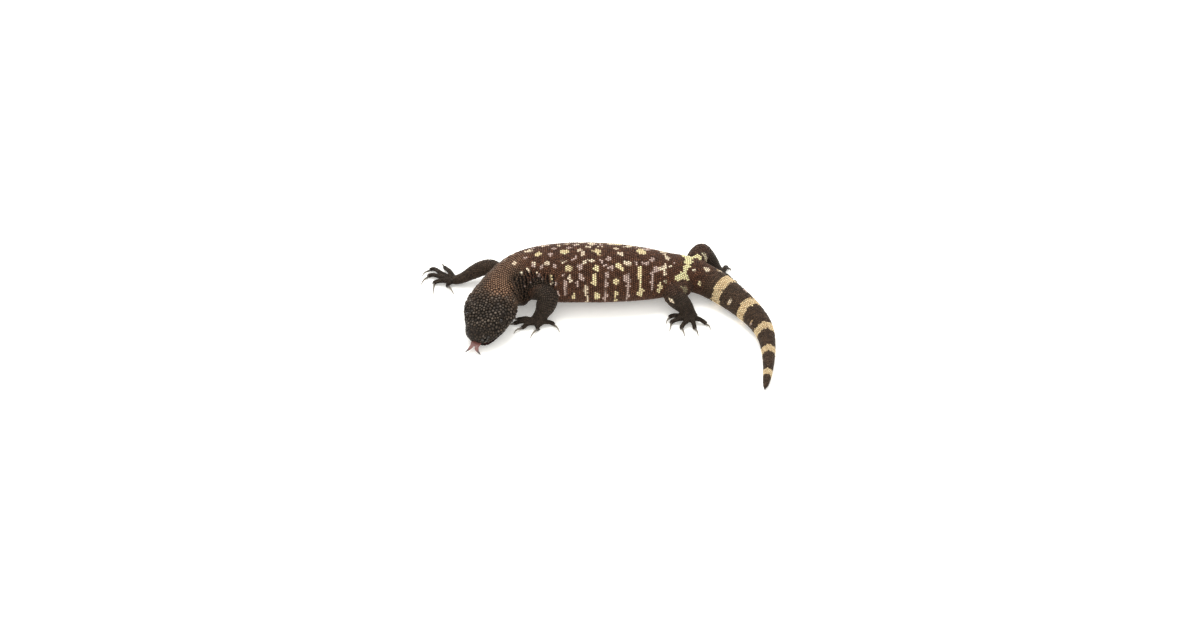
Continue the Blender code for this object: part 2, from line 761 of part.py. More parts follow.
def body_plan():
    """Each node of the neck, trunk and tail: its name, rings, points round a ring, look, beads and the
    places that beads leave bare."""
    plan = [("neck", even_stops(HEAD_END, NECK_END, NECK_PITCH), NECK_AROUND, "body", "neck", at_limb_roots)]
    for name, start, end in (("torso_front", NECK_END, TORSO_MIDDLE), ("torso_rear", TORSO_MIDDLE, VENT)):
        stops = even_stops(start, end, TORSO_PITCH)
        plan.append((name, stops, TORSO_AROUND, "body", "torso", at_limb_roots))
    ends = [VENT, *TAIL_PARTS, BODY.length]
    for n, (around, pitch) in enumerate(zip(TAIL_AROUND, TAIL_PITCH)):
        stops = even_stops(ends[n], ends[n + 1], pitch)
        beads = "tail_end" if n == 3 else "tail"
        plan.append((f"tail_{n + 1}", stops, around, "tail", beads, at_limb_roots if n == 0 else None))
    return plan


def make_body():
    for name, stops, around, look, beads, bare in body_plan():
        beaded(name, BODY, stops, around, look, beads, bare)


def cut_by_body(obj):
    """Cuts a limb back to a gap from the neck, the trunk and the root of the tail."""
    cutters = [
        hide(beaded("cutter", BODY, stops, around, look, beads, bare, GAP))
        for _, stops, around, look, beads, bare in body_plan()[:4]
    ]
    combine(obj, "DIFFERENCE", cutters)


def make_limb(limb):
    kind, side = limb.split("_")
    upper, lower, end = (f"{name}_{side}" for name in LIMB_NODES[kind])
    sweep = limb_sweep(limb)
    elbow, wrist = (share * sweep.stops[-2] for share in (ELBOW, WRIST))
    cut_by_body(beaded(upper, sweep, even_stops(0, elbow, LIMB_PITCH), LIMB_AROUND, "limb", "limb"))
    cut_by_body(beaded(lower, sweep, even_stops(elbow, wrist, LIMB_PITCH), LIMB_AROUND, "limb", "limb"))
    palm = tube(end, sweep, even_stops(wrist, sweep.length, PALM_PITCH), PALM_AROUND, "limb", (GAP / 2, 0))
    digits = []
    for n, (tip, claw) in enumerate(DIGITS[limb]):
        line = digit_sweep(sweep, tip, claw)
        digits.append(tube("digit", line, np.linspace(0, line.length, DIGIT_RINGS), DIGIT_AROUND, "limb"))
        make_claw(f"claw_{end}_{n + 1}", line, claw)
    combine(palm, "UNION", digits)


def digit_sweep(sweep, tip, claw):
    """A digit from inside the palm, over its knuckle, to the pad behind its claw."""
    palm = sweep.centre(sweep.stops[-2])[0]
    tip = np.array([*tip, DIGIT_TIP_HEIGHT])
    root = palm + DIGIT_ROOT_SHARE * (tip - palm)
    knuckle = palm + DIGIT_KNUCKLE_SHARE * (tip - palm)
    root[2], knuckle[2] = palm[2] - 0.8, DIGIT_KNUCKLE_HEIGHT
    toward = unit(np.array([*claw, 0]) - np.array([tip[0], tip[1], 0]))
    pad = tip - PAD_LENGTH * toward
    path = [root, knuckle, pad, tip + 0.6 * toward]
    steps = np.linalg.norm(np.diff(path, axis=0), axis=1)
    stops = [0, steps[0] * 0.8, steps[0] + steps[1] * 0.4, steps[0] + steps[1], steps.sum()]
    girth = [(s, g, g * 0.95, g * 0.95) for s, g in zip(stops, DIGIT_GIRTH)]
    return Sweep(path, girth)


def make_claw(name, digit, claw):
    """A curved horn claw that starts a gap beyond the end of its digit and reaches the floor."""
    end, away, _, _ = digit.frame(digit.length)
    start = end + GAP * away
    tip = np.array([*claw, CLAW_TIP_HEIGHT])
    middle = (start + tip) / 2 + np.array([0, 0, CLAW_ARCH])
    first = start + CLAW_STRAIGHT * away
    path = [start, first, middle, tip]
    steps = np.linalg.norm(np.diff(path, axis=0), axis=1)
    length = steps.sum()
    girth = [(length * n / 4, g * 0.8, g, g) for n, g in enumerate(CLAW_GIRTH)]
    tube(name, Sweep(path, girth), np.linspace(0, length, CLAW_RINGS), CLAW_AROUND, "claw")


def main():
    for obj in list(bpy.data.objects):
        bpy.data.objects.remove(obj)
    make_head()
    make_tongue()
    make_body()
    for limb in LIMBS:
        make_limb(limb)


main()
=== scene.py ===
"""Looks of the beaded lizard: one skin with its folds, lids, nostrils and lips, the beads that cover it,
and the eyes, claws, tongue and studio.

Body sizes are in millimetres, as in the solids. Mesh coordinates and the sizes in the panel are in metres.
"""

import math
from types import SimpleNamespace

import bmesh
import bpy
import numpy as np
from bpy.props import FloatProperty, FloatVectorProperty, IntProperty, PointerProperty
from mathutils import Matrix, Vector
from mathutils.bvhtree import BVHTree
from mathutils.kdtree import KDTree


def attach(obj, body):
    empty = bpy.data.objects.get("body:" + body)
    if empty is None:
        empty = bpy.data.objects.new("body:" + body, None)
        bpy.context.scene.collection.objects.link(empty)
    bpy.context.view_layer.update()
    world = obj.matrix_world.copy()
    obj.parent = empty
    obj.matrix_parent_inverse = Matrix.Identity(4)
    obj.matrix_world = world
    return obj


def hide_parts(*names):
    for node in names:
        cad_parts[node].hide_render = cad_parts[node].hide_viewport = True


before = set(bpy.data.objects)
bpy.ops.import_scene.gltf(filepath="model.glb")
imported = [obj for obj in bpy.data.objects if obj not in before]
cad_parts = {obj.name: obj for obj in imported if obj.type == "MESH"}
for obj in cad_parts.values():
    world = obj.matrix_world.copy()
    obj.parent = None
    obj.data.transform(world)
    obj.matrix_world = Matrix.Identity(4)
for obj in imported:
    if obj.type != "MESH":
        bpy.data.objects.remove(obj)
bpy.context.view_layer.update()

bl_info = {
    "name": "Beaded Lizard",
    "version": (1, 0, 0),
    "blender": (4, 5, 0),
    "location": "3D View > Sidebar > Lizard",
    "description": "Skin, beads, eyes, claws and tongue of a life-size beaded lizard, and a studio for it",
    "category": "Object",
}

MM = 0.001
FLOOR = 0.0
SEED = 11

# The spine, from the tip of the snout to the tip of the tail: x, y, z in mm
SPINE = [
    (-137.8, -46, 12.2), (-127.2, -21.7, 21), (-119.6, 6.1, 30), (-108.2, 32.6, 34.5),
    (-84, 54.5, 34), (-48, 61, 32.5), (-15.5, 61, 33), (16, 60.5, 33),
    (48, 61, 31.5), (80.5, 63, 29), (102, 65.5, 27), (120.5, 67.5, 25),
    (136.5, 64.5, 22), (161, 48.5, 18), (192.5, 11, 14.7), (209, -24, 11.7),
    (211, -57, 8.3), (206, -93, 5.3), (199.5, -119.5, 3.2),
]

# Half width, rise above the spine and drop below it at a distance from the snout, in mm
BODY_GIRTH = [
    (0, 6.5, 3.2, 3.0), (1.6, 11.0, 6.2, 5.2), (4, 14.6, 8.6, 6.8),
    (9, 18.2, 10.8, 8.4), (16, 21.6, 12.6, 10.2), (25, 26.2, 14.2, 12.2),
    (35, 29.3, 15.4, 13.8), (45, 31.0, 16.2, 15.0), (54, 31.2, 16.6, 15.8),
    (64, 29.6, 17.2, 18.0), (76, 27.4, 18.4, 24.0), (88, 26.8, 20.2, 28.5),
    (101, 29.2, 23.0, 29.0), (115, 33.0, 26.0, 29.5), (131, 36.5, 29.0, 31.5),
    (149, 39.5, 32.3, 33.6), (181, 41.8, 34.2, 34.4), (213, 41.5, 34.4, 34.4),
    (245, 39.5, 32.9, 32.7), (277, 35.5, 29.6, 30.0), (299, 31.0, 25.5, 27.4),
    (318, 26.5, 22.5, 24.5), (334, 22.5, 20.5, 20.5), (350, 20.3, 19.2, 19.0),
    (366, 19.2, 18.4, 18.0), (413, 15.8, 15.2, 15.1), (452, 12.6, 12.0, 12.1),
    (485, 9.0, 8.7, 8.7), (521, 6.1, 5.8, 5.7), (536, 4.9, 4.7, 4.6),
    (546, 3.7, 3.6, 3.5), (552.5, 2.3, 2.3, 2.2), (555.7, 1.1, 1.1, 1.1),
]
BELLY_SQUARENESS = 2.04
SAG_RISE, SAG_ALONG, SAG_LENGTH = 6.5, 96, 15
SAG_TURN, SAG_ROUND = math.radians(130), 0.45
BACK_SQUARENESS = 2.1
HEAD_END = 66
NECK_END = 112
VENT = 341
TORSO_PARTS = (112, 185, 262, 341)
TAIL_MIDDLE = 430

# The head
MOUTH_HEIGHT = -1.6
MOUTH_SLOPE = -0.055
MOUTH_CORNER = 41
JAW_OPEN = math.radians(6)
LIP_RISE = 0.7
LIP_OFFSET = 1.9
EYE_ALONG = 29.5
EYE_TURN = math.radians(51)
EYE_RADIUS = 3.4
EYE_PROUD = 1.2
NOSTRIL_ALONG = 4.2
NOSTRIL_TURN = math.radians(60)
EAR_ALONG = 50.5
EAR_TURN = math.radians(97)

# Brows, hollows before the eyes, cheeks and the dip of the nape: rise, distance from the snout, length
# there, angle from the top and width there, in mm and radians
HEAD_FORMS = (
    (1.3, 28, 8, math.radians(36), 0.24),
    (-0.9, 17, 6, math.radians(62), 0.3),
    (1.3, 44, 9, math.radians(84), 0.5),
    (-0.8, 60, 7, 0, 0.8),
)

# Nostrils and ears: distance from the snout, turn, half length and half width of the pit, its depth,
# and half length and half width of the place that grows no scales, in mm
PITS = (
    (NOSTRIL_ALONG, NOSTRIL_TURN, 1.9, 1.35, 2.3, 2.0, 1.6),
    (EAR_ALONG, EAR_TURN, 1.0, 2.7, 1.8, 1.3, 3.0),
)
PIT_RIM = 0.32
NOSE_SCALES_REACH = 4.6

# Half length and half height of the opening between the lids, in mm
LID_OPENING = (2.9, 2.1)
LID_THICKNESS = 0.42

# Rim, fold and outer ring of the lids: rise, distance outside the opening and width, in mm
LID_RINGS = ((0.2, 0.5, 0.4), (-0.28, 1.25, 0.3), (0.18, 1.9, 0.45))
LID_FADE = (1.6, 3.6)
BARE_LID_EDGE = 0.45
NEAR_HEAD = 4
BROW_RIDGE = 0.9

# The tongue, in the frame of the head: distance from the snout, and height
TONGUE_ROOT = 15
TONGUE_HALF_WIDTH = 6.6
TONGUE_FORK = (-5.0, -4.0)
TONGUE_ASIDE = -0.8
TONGUE_TIPS = ((-150.3, -53.9, 1.4), (-131.3, -58.3, 1.4))
TONGUE_SQUARENESS = 2.4
TONGUE_STEP = 0.4

# Share of the tongue's half width, and half its thickness in mm, from its root to the fork
TONGUE_GIRTH = ((0.8, 0.5), (0.95, 0.7), (1, 0.95), (0.85, 1.0))

# The two prongs: how deep and how far aside they start, how far they run straight and how far apart
# they spread on that way, in mm
PRONG_BURIED, PRONG_ASIDE = 3.5, 2.8
PRONG_STRAIGHT, PRONG_SPREAD = 4.5, 0.6

# Share of a prong's length, and its half width and half thickness there, in mm
PRONG_GIRTH = ((0, 2.0, 0.6), (0.4, 2.5, 1.0), (0.7, 1.5, 0.8), (1, 0.4, 0.4))

# The limbs: shoulder or hip, the bend, the wrist or ankle, the palm and its front, in mm
LIMBS = {
    "arm_left": [
        (-73, 40, 30), (-62.5, 28, 30), (-54, 19, 28.5),
        (-56, 10, 20), (-61, 4, 12.5), (-67.5, -2.5, 5.6),
    ],
    "arm_right": [
        (-86, 64, 17), (-108, 72, 11.5), (-129, 86, 22),
        (-147, 86.5, 17.5), (-163.5, 81, 11), (-176.5, 81.5, 5.6),
    ],
    "leg_left": [
        (119, 56, 22), (110, 42, 23), (102.5, 31.5, 22.5),
        (109, 22.5, 18), (118, 14.5, 12), (122.5, 7, 5.6),
    ],
    "leg_right": [
        (126, 75, 26), (136, 92, 32), (143.5, 103, 33),
        (151, 102.5, 24), (160, 98, 13), (167, 93, 5.2),
    ],
}
LIMB_FULLNESS = {"arm_left": 1.0, "arm_right": 0.8, "leg_left": 1.0, "leg_right": 0.93}
ARM_GIRTH = (12.5, 13.6, 13.2, 12.0, 9.0, 9.5)
LEG_GIRTH = (13.5, 14.2, 13.2, 12.2, 9.6, 10.0)
PALM_FLATNESS = 0.58
LIMB_STIFFNESS = 15
ENDS = {"arm": "hand", "leg": "foot"}

# Each digit's tip on the floor plan and the tip of its claw, from the first digit to the fifth, in mm
DIGITS = {
    "arm_left": [
        ((-91, 6), (-99.5, 7)), ((-95.5, -2.5), (-105, -6)),
        ((-85, -11), (-94.5, -18.5)), ((-66, -14), (-74, -27.5)),
        ((-46, -4.5), (-38, -17)),
    ],
    "arm_right": [
        ((-185, 71.5), (-175.5, 56.5)), ((-203.5, 76.5), (-202.5, 58)),
        ((-213.2, 92), (-221, 77)), ((-212.5, 106), (-222.4, 95)),
        ((-194.5, 112.5), (-199, 119.5)),
    ],
    "leg_left": [
        ((97.5, 9), (92.5, -0.5)), ((99, -2), (96.2, -15.5)),
        ((111.5, -12), (114.2, -24.5)), ((127.8, -12.5), (131, -23.5)),
        ((141.8, -3), (147, -11.8)),
    ],
    "leg_right": [
        ((160, 109), (156, 116.5)), ((169, 112), (167.5, 120)),
        ((179.5, 110.5), (184, 105)), ((183, 84), (189.5, 79)),
        ((174.5, 77), (178, 70)),
    ],
}
DIGIT_KNUCKLE_HEIGHT = 6.4
DIGIT_TIP_HEIGHT = 2.8
DIGIT_GIRTH = (3.6, 3.0, 2.6, 2.5, 1.7)
CLAW_GIRTH = (1.85, 1.65, 1.35, 0.95, 0.36)
CLAW_ARCH = 2.2
CLAW_TIP_HEIGHT = 0.45
GAP = 0.3

# Pale spots of the trunk, in rows along it: distance from the snout, distance round from the middle of
# the back towards the left, half length, half width and colour, in mm
SPOT_ROWS = {
    "far_row": [
        (148, -18, 4, 2.6, "cream"), (165, -15, 4, 2.6, "cream"), (186, -15, 5, 2.4, "cream"),
        (204, -20, 4.4, 3.4, "cream"), (228, -20, 6, 3.2, "cream"), (254, -22, 5, 2.8, "cream"),
        (278, -20, 5, 3, "rose"),
    ],
    "far_dashes": [
        (158, -7, 3.5, 1.7, "rose"), (178, -6, 3.5, 1.7, "rose"), (201, -8.6, 3.4, 1.7, "cream"),
        (215, -9.3, 5, 1.7, "cream"), (248, -15, 6, 1.9, "cream"), (275, -14, 5, 1.8, "rose"),
    ],
    "mid_back": [
        (120, 1, 3, 2.4, "rose"), (137, 1, 4.5, 4, "yellow"), (154, 5, 3.4, 3, "rose"),
        (172, 2, 5.6, 4.2, "yellow"), (191, 0, 3.2, 3.4, "cream"), (194.5, 6.5, 2.2, 4.4, "cream"),
        (212, 1, 5.4, 3.2, "yellow"), (213.5, 5, 2.6, 3.6, "yellow"), (235, -7, 5.2, 2, "cream"),
        (239, 4, 4.4, 3.4, "cream"), (265.5, -5, 6, 6.2, "yellow"), (293, -13.5, 3.4, 2.6, "cream"),
        (296, -6, 2.6, 4.6, "cream"), (297.4, 1, 3, 3.8, "cream"),
    ],
    "upper_row": [
        (106, 1, 3.2, 3, "cream"), (128, 15, 3.6, 3.2, "cream"), (148, 19, 3.4, 3.2, "cream"),
        (140, 22, 2.4, 3.2, "rose"), (160, 24, 2.6, 2.6, "rose"), (171, 18, 5, 1.7, "cream"),
        (183, 15.6, 3, 2.2, "rose"), (187, 12, 2, 3.2, "rose"), (205.5, 16.6, 4, 1.7, "cream"),
        (217, 18, 2.6, 1.7, "rose"), (225.5, 13.5, 3, 3.2, "rose"), (197, 20, 2.8, 2.2, "cream"),
        (247, 18.2, 4.6, 3.4, "cream"), (257.5, 16.5, 2, 1.9, "rose"), (269, 15.8, 4.4, 2.6, "rose"),
        (276.5, 10, 2.6, 2.2, "rose"), (279.3, 6.5, 2.2, 3, "rose"), (305, 8.2, 2, 2, "rose"),
        (300.5, 14.3, 2, 2, "cream"),
    ],
    "middle_row": [
        (177.5, 28.3, 4.2, 3.8, "yellow"), (192.5, 24.5, 3.6, 2.6, "rose"), (193, 28, 2.2, 2.6, "rose"),
        (211, 28, 4.2, 4, "yellow"), (221.5, 23.8, 3, 1.7, "rose"), (227.5, 26, 3.8, 2.8, "rose"),
        (237, 22.6, 4, 3, "yellow"), (240.5, 26, 3, 3.6, "yellow"), (261.7, 30, 3.1, 8.6, "yellow"),
        (262, 43, 1.7, 9, "yellow"), (264, 54.5, 3.8, 6.6, "yellow"), (281, 21.8, 4, 3.9, "rose"),
        (286.5, 19.8, 3.2, 1.9, "cream"), (290.5, 18.3, 2.9, 3.4, "cream"), (293, 15, 2, 3.4, "cream"),
        (291.6, 24, 1.7, 4.2, "cream"), (293, 35, 2, 1.9, "stone"),
    ],
    "lower_row": [
        (171, 37, 2.2, 2.4, "rose"), (178.7, 40, 2.2, 2.8, "cream"), (181, 43, 2.2, 2.6, "cream"),
        (193.7, 38, 2.4, 2.8, "rose"), (195.6, 41, 2.2, 2.2, "rose"), (209, 40, 2.6, 4.6, "yellow"),
        (209.4, 45.5, 2.8, 4.4, "yellow"), (223, 34, 2.6, 2.6, "rose"), (225, 37, 2.2, 2.4, "rose"),
        (234.5, 43, 3.2, 5.4, "yellow"), (245.5, 38, 3.4, 4.4, "rose"), (276.3, 31, 1.7, 6, "rose"),
        (276, 38, 2.4, 5.6, "rose"), (277.6, 46, 1.7, 5, "rose"),
    ],
    "low_bars": [
        (173, 46, 2.2, 5, "rose"), (172.5, 57, 1.9, 7.4, "rose"), (184, 65.5, 1.9, 6, "yellow"),
        (189, 48, 1.9, 4.8, "rose"), (199, 56, 2.2, 9, "cream"), (200.6, 72, 1.7, 8, "cream"),
        (212, 65, 3.4, 6.2, "yellow"), (222.5, 46.5, 2.8, 4, "rose"), (222, 60, 1.4, 20, "rose"),
        (224.5, 62.4, 1.7, 3, "rose"), (235, 60, 3, 4.6, "yellow"), (235, 70, 1.8, 8, "yellow"),
        (248.6, 54, 1.5, 19, "rose"), (287, 43, 2.6, 4.6, "yellow"), (285.6, 49, 2.6, 3.8, "yellow"),
        (163, 60, 2, 6, "rose"), (300, 44, 2.2, 7, "rose"),
    ],
    "shoulder": [
        (104.5, 17.5, 2.2, 2.8, "cream"), (116.5, 19, 2.2, 3.6, "cream"), (127, 17, 2.2, 3, "rose"),
        (129.5, 28, 1.9, 2.6, "cream"), (134.5, 33, 1.7, 3, "rose"), (119, 34, 1.7, 3.6, "rose"),
        (110, 33, 1.7, 3.4, "rose"), (123, 42, 1.7, 3.6, "rose"), (129, 42, 1.7, 3.4, "rose"),
        (141, 39, 1.7, 3.4, "rose"), (154, 37.5, 2.2, 3.8, "yellow"), (154, 45, 2.2, 2.4, "cream"),
        (147, 50, 1.8, 3, "rose"), (161, 46, 1.8, 3.6, "rose"), (97, 33, 1.7, 3, "rose"),
    ],
    "tail_root": [
        (350, 2, 4, 4, "cream"), (349, 23, 3, 3.4, "yellow"), (333, 12, 3, 2.6, "cream"),
        (404, 19, 1.8, 5, "cream"), (362, -12, 3, 3, "cream"), (405, -10.5, 4.4, 2.6, "rose"),
        (448, 17, 1.7, 3.4, "rose"),
    ],
}

# Spots farther left than this, in mm round from the middle of the back, have their like on the right
MIRRORED_BEYOND = 12

# The bright band across the pelvis, from the right side over the back down to the left thigh: distance
# round from the middle of the back, and where the band starts and ends along the body, in mm
PELVIS_BAND = [
    (-24, 317, 329), (-13, 319, 331), (-5, 320.5, 330), (0, 320.5, 329.2),
    (10, 318.3, 325.2), (17, 315.8, 321.6), (22, 311, 320.5), (26, 304, 325),
    (31.5, 304, 324), (33.5, 308, 318),
]

# Pale bands of the tail: distance from the snout at the top, half width there, and how much farther
# back the band lies at the side
TAIL_BANDS = ((379, 6.6, 2.5), (423.5, 5.9, 2.5), (462.5, 5.4, 3), (496, 4.6, 1.5), (531.5, 4.2, 1))

# Folds of loose skin on the left of the neck and above the arm: distance from the snout and round from
# the middle of the back at the top of each fold, then at its foot, in mm
FOLDS = [
    (79, 14, 67, 44), (91.5, 13, 77, 46), (97, 16, 84, 46), (101.5, 15, 91, 52),
    (107, 20, 98, 54), (113, 20, 105, 56), (120, 22, 114, 58), (127, 26, 125, 60),
    (132, 29, 132, 60), (137, 33, 138.5, 62), (143.5, 31, 145, 64), (150, 34, 151.5, 66),
    (157, 34, 157.5, 66),
]

# Spots on the limbs: distance along, turn in degrees, half length, half width and colour
LIMB_SPOTS = {
    "leg_left": [(24, -66, 5.8, 7.4, "olive"), (39.5, 64, 2.9, 2.3, "cream")],
    "leg_right": [(22, 62, 2.6, 8, "stone"), (14.5, 21, 4.6, 5.4, "pelvis"), (40, -40, 3.4, 2.8, "rose")],
}

# Where one ground colour fades into the next, from and to, in mm from the snout or from the limb's root
HEAD_TO_NECK = (40, 62)
NECK_TO_TRUNK = (92, 122)
TRUNK_TO_TAIL = (335, 375)
ARM_TO_TRUNK = (10, 24)
LEG_TO_TRUNK = (30, 44)

# The limbs' colour reaches this far round the top of each arm, and the right arm is paler
ARM_ROOT = (15, 21)
FAR_ARM_SHARE = 0.45

# Painted shade on the left shoulder: where along it is and how long, where round the body it starts, and
# how dark
SHOULDER_ALONG, SHOULDER_LENGTH = 112, 26
SHOULDER_ROUND = (16, 30)
SHOULDER_PAINTED_SHADE = 0.3

# Width of a fold in mm, how dark its painted shade is inside, and how deep in it that shade starts and is
# full
FOLD_WIDTH = 1.9
FOLD_PAINTED_SHADE = 0.88
FOLD_EDGE = (0.22, 0.6)

# Bead places: shares of the spacing that two beads keep at least, while they are laid and evened out
FIRST_THINNING = 0.7
FILLING_SHARES = (0.93, 0.86, 0.82)
LAST_THINNING = 0.62
FILLING_TRIES = 45000
EVENING_ROUNDS = 9
RING_SHARE = 0.88

# Half the size on the unwrap of the patch of one bead
PATCH = 0.0015

LAMP_PLACE = (-0.12, 0.65, 1.5)
LAMP_SIZE = 0.9

REGIONS = ["body", *LIMBS]
DIGIT_REGIONS = [f"{limb}_{n}" for limb in LIMBS for n in range(1, 6)]
REGIONS += DIGIT_REGIONS


def natural_spline(stops, values):
    """A curve of continuous curvature through values at stops, as a function of distance."""
    stops = np.array(stops, float)
    values = np.array(values, float)
    step = np.diff(stops)
    slope = np.diff(values, axis=0) / step[:, None]
    system = np.eye(len(stops))
    right = np.zeros_like(values)
    for i in range(1, len(stops) - 1):
        system[i, i - 1 : i + 2] = step[i - 1], 2 * (step[i - 1] + step[i]), step[i]
        right[i] = 6 * (slope[i] - slope[i - 1])
    bend = np.linalg.solve(system, right)

    def at(distance):
        distance = np.atleast_1d(np.asarray(distance, float))
        i = np.clip(np.searchsorted(stops, distance) - 1, 0, len(step) - 1)
        h = step[i][:, None]
        before = (distance - stops[i])[:, None]
        after = h - before
        curved = (bend[i] * after**3 + bend[i + 1] * before**3) / (6 * h)
        first = (values[i] / h - bend[i] * h / 6) * after
        second = (values[i + 1] / h - bend[i + 1] * h / 6) * before
        return curved + (first + second)

    return at


def eased(stops, values):
    """A curve through values at stops that never swings past them, as a function of distance."""
    stops = np.array(stops, float)
    values = np.array(values, float)
    step = np.diff(stops)[:, None]
    slope = np.diff(values, axis=0) / step
    tangent = np.zeros_like(values)
    same_way = slope[:-1] * slope[1:] > 0
    mean = 2 * slope[:-1] * slope[1:] / np.where(same_way, slope[:-1] + slope[1:], 1)
    tangent[1:-1] = np.where(same_way, mean, 0)
    tangent[0], tangent[-1] = slope[0], slope[-1]

    def at(distance):
        distance = np.atleast_1d(np.asarray(distance, float))
        i = np.clip(np.searchsorted(stops, distance) - 1, 0, len(step) - 1)
        h = step[i]
        t = np.clip((distance - stops[i])[:, None] / h, 0, 1)
        start = (1 + 2 * t) * (1 - t) ** 2 * values[i] + t * (1 - t) ** 2 * h * tangent[i]
        end = t**2 * (3 - 2 * t) * values[i + 1] + t**2 * (t - 1) * h * tangent[i + 1]
        return start + end

    return at


def bell(offset, width):
    """1 where the offset is 0, fading to 0 both ways."""
    return np.exp(-((offset / width) ** 2))


def ramp(value, low, high):
    """A smooth rise from 0 at low to 1 at high."""
    t = np.clip((value - low) / (high - low), 0, 1)
    return t * t * (3 - 2 * t)


def unit(vectors):
    """Vectors of length 1 in the same directions."""
    vectors = np.asarray(vectors, float)
    return vectors / np.maximum(np.linalg.norm(vectors, axis=-1, keepdims=True), 1e-9)


def crests(value, period, power):
    """Even crests of height 1, a period apart, the sharper the higher the power."""
    return (0.5 + 0.5 * np.cos(value / period * 2 * math.pi)) ** power


def from_top(turn):
    """The angle from the top, alike on both sides, from 0 to half a turn."""
    return np.abs(np.arctan2(np.sin(turn), np.cos(turn)))


def lengths_along(path):
    """Distance of each point of a path from its first."""
    steps = np.linalg.norm(np.diff(np.array(path, float), axis=0), axis=1)
    return np.concatenate([[0], np.cumsum(steps)])


class Sweep:
    """An oval section carried along a curved line: the body, a limb, a digit or a claw, in mm."""

    def __init__(self, path, girth, relief=None, back=2.0, belly=2.0, stiffness=1.0):
        path = np.array(path, float)
        self.stops = lengths_along(path)
        self.length = self.stops[-1]
        self.centre = natural_spline(self.stops, path)
        girth = np.array(girth, float)
        self.girth = eased(girth[:, 0], girth[:, 1:])
        self.relief = relief
        self.back = back
        self.belly = belly
        self.stiffness = stiffness

    def frame(self, along):
        """Centre, direction away from the root, left and up at each distance."""
        along = np.atleast_1d(np.asarray(along, float))
        ahead = self.centre(np.minimum(along + self.stiffness, self.length))
        away = unit(ahead - self.centre(np.maximum(along - self.stiffness, 0)))
        up = unit(np.array([0, 0, 1.0]) - away[:, 2:] * away)
        return self.centre(along), away, np.cross(away, up), up

    def section(self, along, turn):
        """Sideways and upward offsets at each distance and angle from the top, and the way out there."""
        half_width, rise, drop = self.girth(along).T
        upper = np.cos(turn) > 0
        power = np.where(upper, 2 / self.back, 2 / self.belly)
        height = np.where(upper, rise, drop)
        aside = half_width * np.sign(np.sin(turn)) * np.abs(np.sin(turn)) ** power
        upward = height * np.sign(np.cos(turn)) * np.abs(np.cos(turn)) ** power
        normal = unit(np.stack([aside / half_width**2, upward / height**2], 1))
        return aside, upward, normal

    def surface(self, along, turn, lift=0.0):
        """Points on the surface, or lifted off it, and the way out there."""
        centre, _, left, up = self.frame(along)
        aside, upward, normal = self.section(along, turn)
        if self.relief:
            lift = lift + self.relief(along, turn, upward)
        out = normal[:, :1] * left + normal[:, 1:] * up
        points = centre + aside[:, None] * left + upward[:, None] * up + np.reshape(lift, (-1, 1)) * out
        points[:, 2] = np.maximum(points[:, 2], FLOOR)
        return points, out


def mouth_height(along):
    """Height of the line of the mouth above the spine, in mm."""
    return MOUTH_HEIGHT + MOUTH_SLOPE * along


def head_relief(along, turn, upward):
    """Brows, hollows before the eyes, cheeks and lips, in mm off the plain section."""
    side = from_top(turn)
    forms = 0
    for rise, middle, length, angle, width in HEAD_FORMS:
        forms = forms + rise * bell(along - middle, length) * bell(side - angle, width)
    from_mouth = upward - mouth_height(along)
    lips = LIP_RISE * (bell(from_mouth - LIP_OFFSET, 1.3) + bell(from_mouth + LIP_OFFSET, 1.3))
    lips = lips * ramp(MOUTH_CORNER + 3 - along, 0, 5) * ramp(along, 1, 5)
    return forms + lips


def body_relief(along, turn, upward):
    """The head's forms, then the wide folds of loose skin on the neck and the sag in front of each arm."""
    wrapped = np.mod(turn, 2 * math.pi)
    side = from_top(turn)
    sag = SAG_RISE * bell(along - SAG_ALONG, SAG_LENGTH) * bell(side - SAG_TURN, SAG_ROUND)
    left_side = bell(wrapped - math.radians(95), 0.8)
    fold = np.cos((along - 82) / 7.5 * math.pi) * bell(along - 97, 16)
    return sag + np.where(along < 75, head_relief(along, turn, upward), 0.7 * fold * (0.35 + left_side))


BODY = Sweep(SPINE, BODY_GIRTH, body_relief, BACK_SQUARENESS, BELLY_SQUARENESS)


def limb_sweep(name):
    """One limb from inside the body to the front of its palm. The palm is flat and the rest is round."""
    path = LIMBS[name]
    stops = lengths_along(path)
    halves = LIMB_FULLNESS[name] * np.array(ARM_GIRTH if name.startswith("arm") else LEG_GIRTH)
    girth = [(s, half, half * 0.95, half * 0.95) for s, half in zip(stops, halves)]
    palm = halves[-1]
    girth[-1] = (stops[-1], palm, palm * PALM_FLATNESS, palm * PALM_FLATNESS)
    end = (stops[-1] + 6.5, palm * 0.72, palm * 0.36, palm * 0.36)
    ahead = np.array(path[-1], float) + 6.5 * unit(np.array(path[-1]) - np.array(path[-2])) * (1, 1, 0)
    return Sweep([*path, tuple(ahead)], [*girth, end], stiffness=LIMB_STIFFNESS)


def digit_sweep(limb, tip, claw):
    """A digit from inside the palm, over its knuckle, to the pad behind its claw."""
    palm = limb.centre(limb.stops[-2])[0]
    tip = np.array([*tip, DIGIT_TIP_HEIGHT])
    root = palm + 0.12 * (tip - palm)
    knuckle = palm + 0.62 * (tip - palm)
    root[2], knuckle[2] = palm[2] - 0.8, DIGIT_KNUCKLE_HEIGHT
    toward = unit(np.array([*claw, 0]) - np.array([tip[0], tip[1], 0]))
    pad = tip - 1.6 * toward
    path = [root, knuckle, pad, tip + 0.6 * toward]
    steps = np.linalg.norm(np.diff(path, axis=0), axis=1)
    stops = [0, steps[0] * 0.8, steps[0] + steps[1] * 0.4, steps[0] + steps[1], steps.sum()]
    girth = [(s, g, g * 0.95, g * 0.95) for s, g in zip(stops, DIGIT_GIRTH)]
    return Sweep(path, girth)


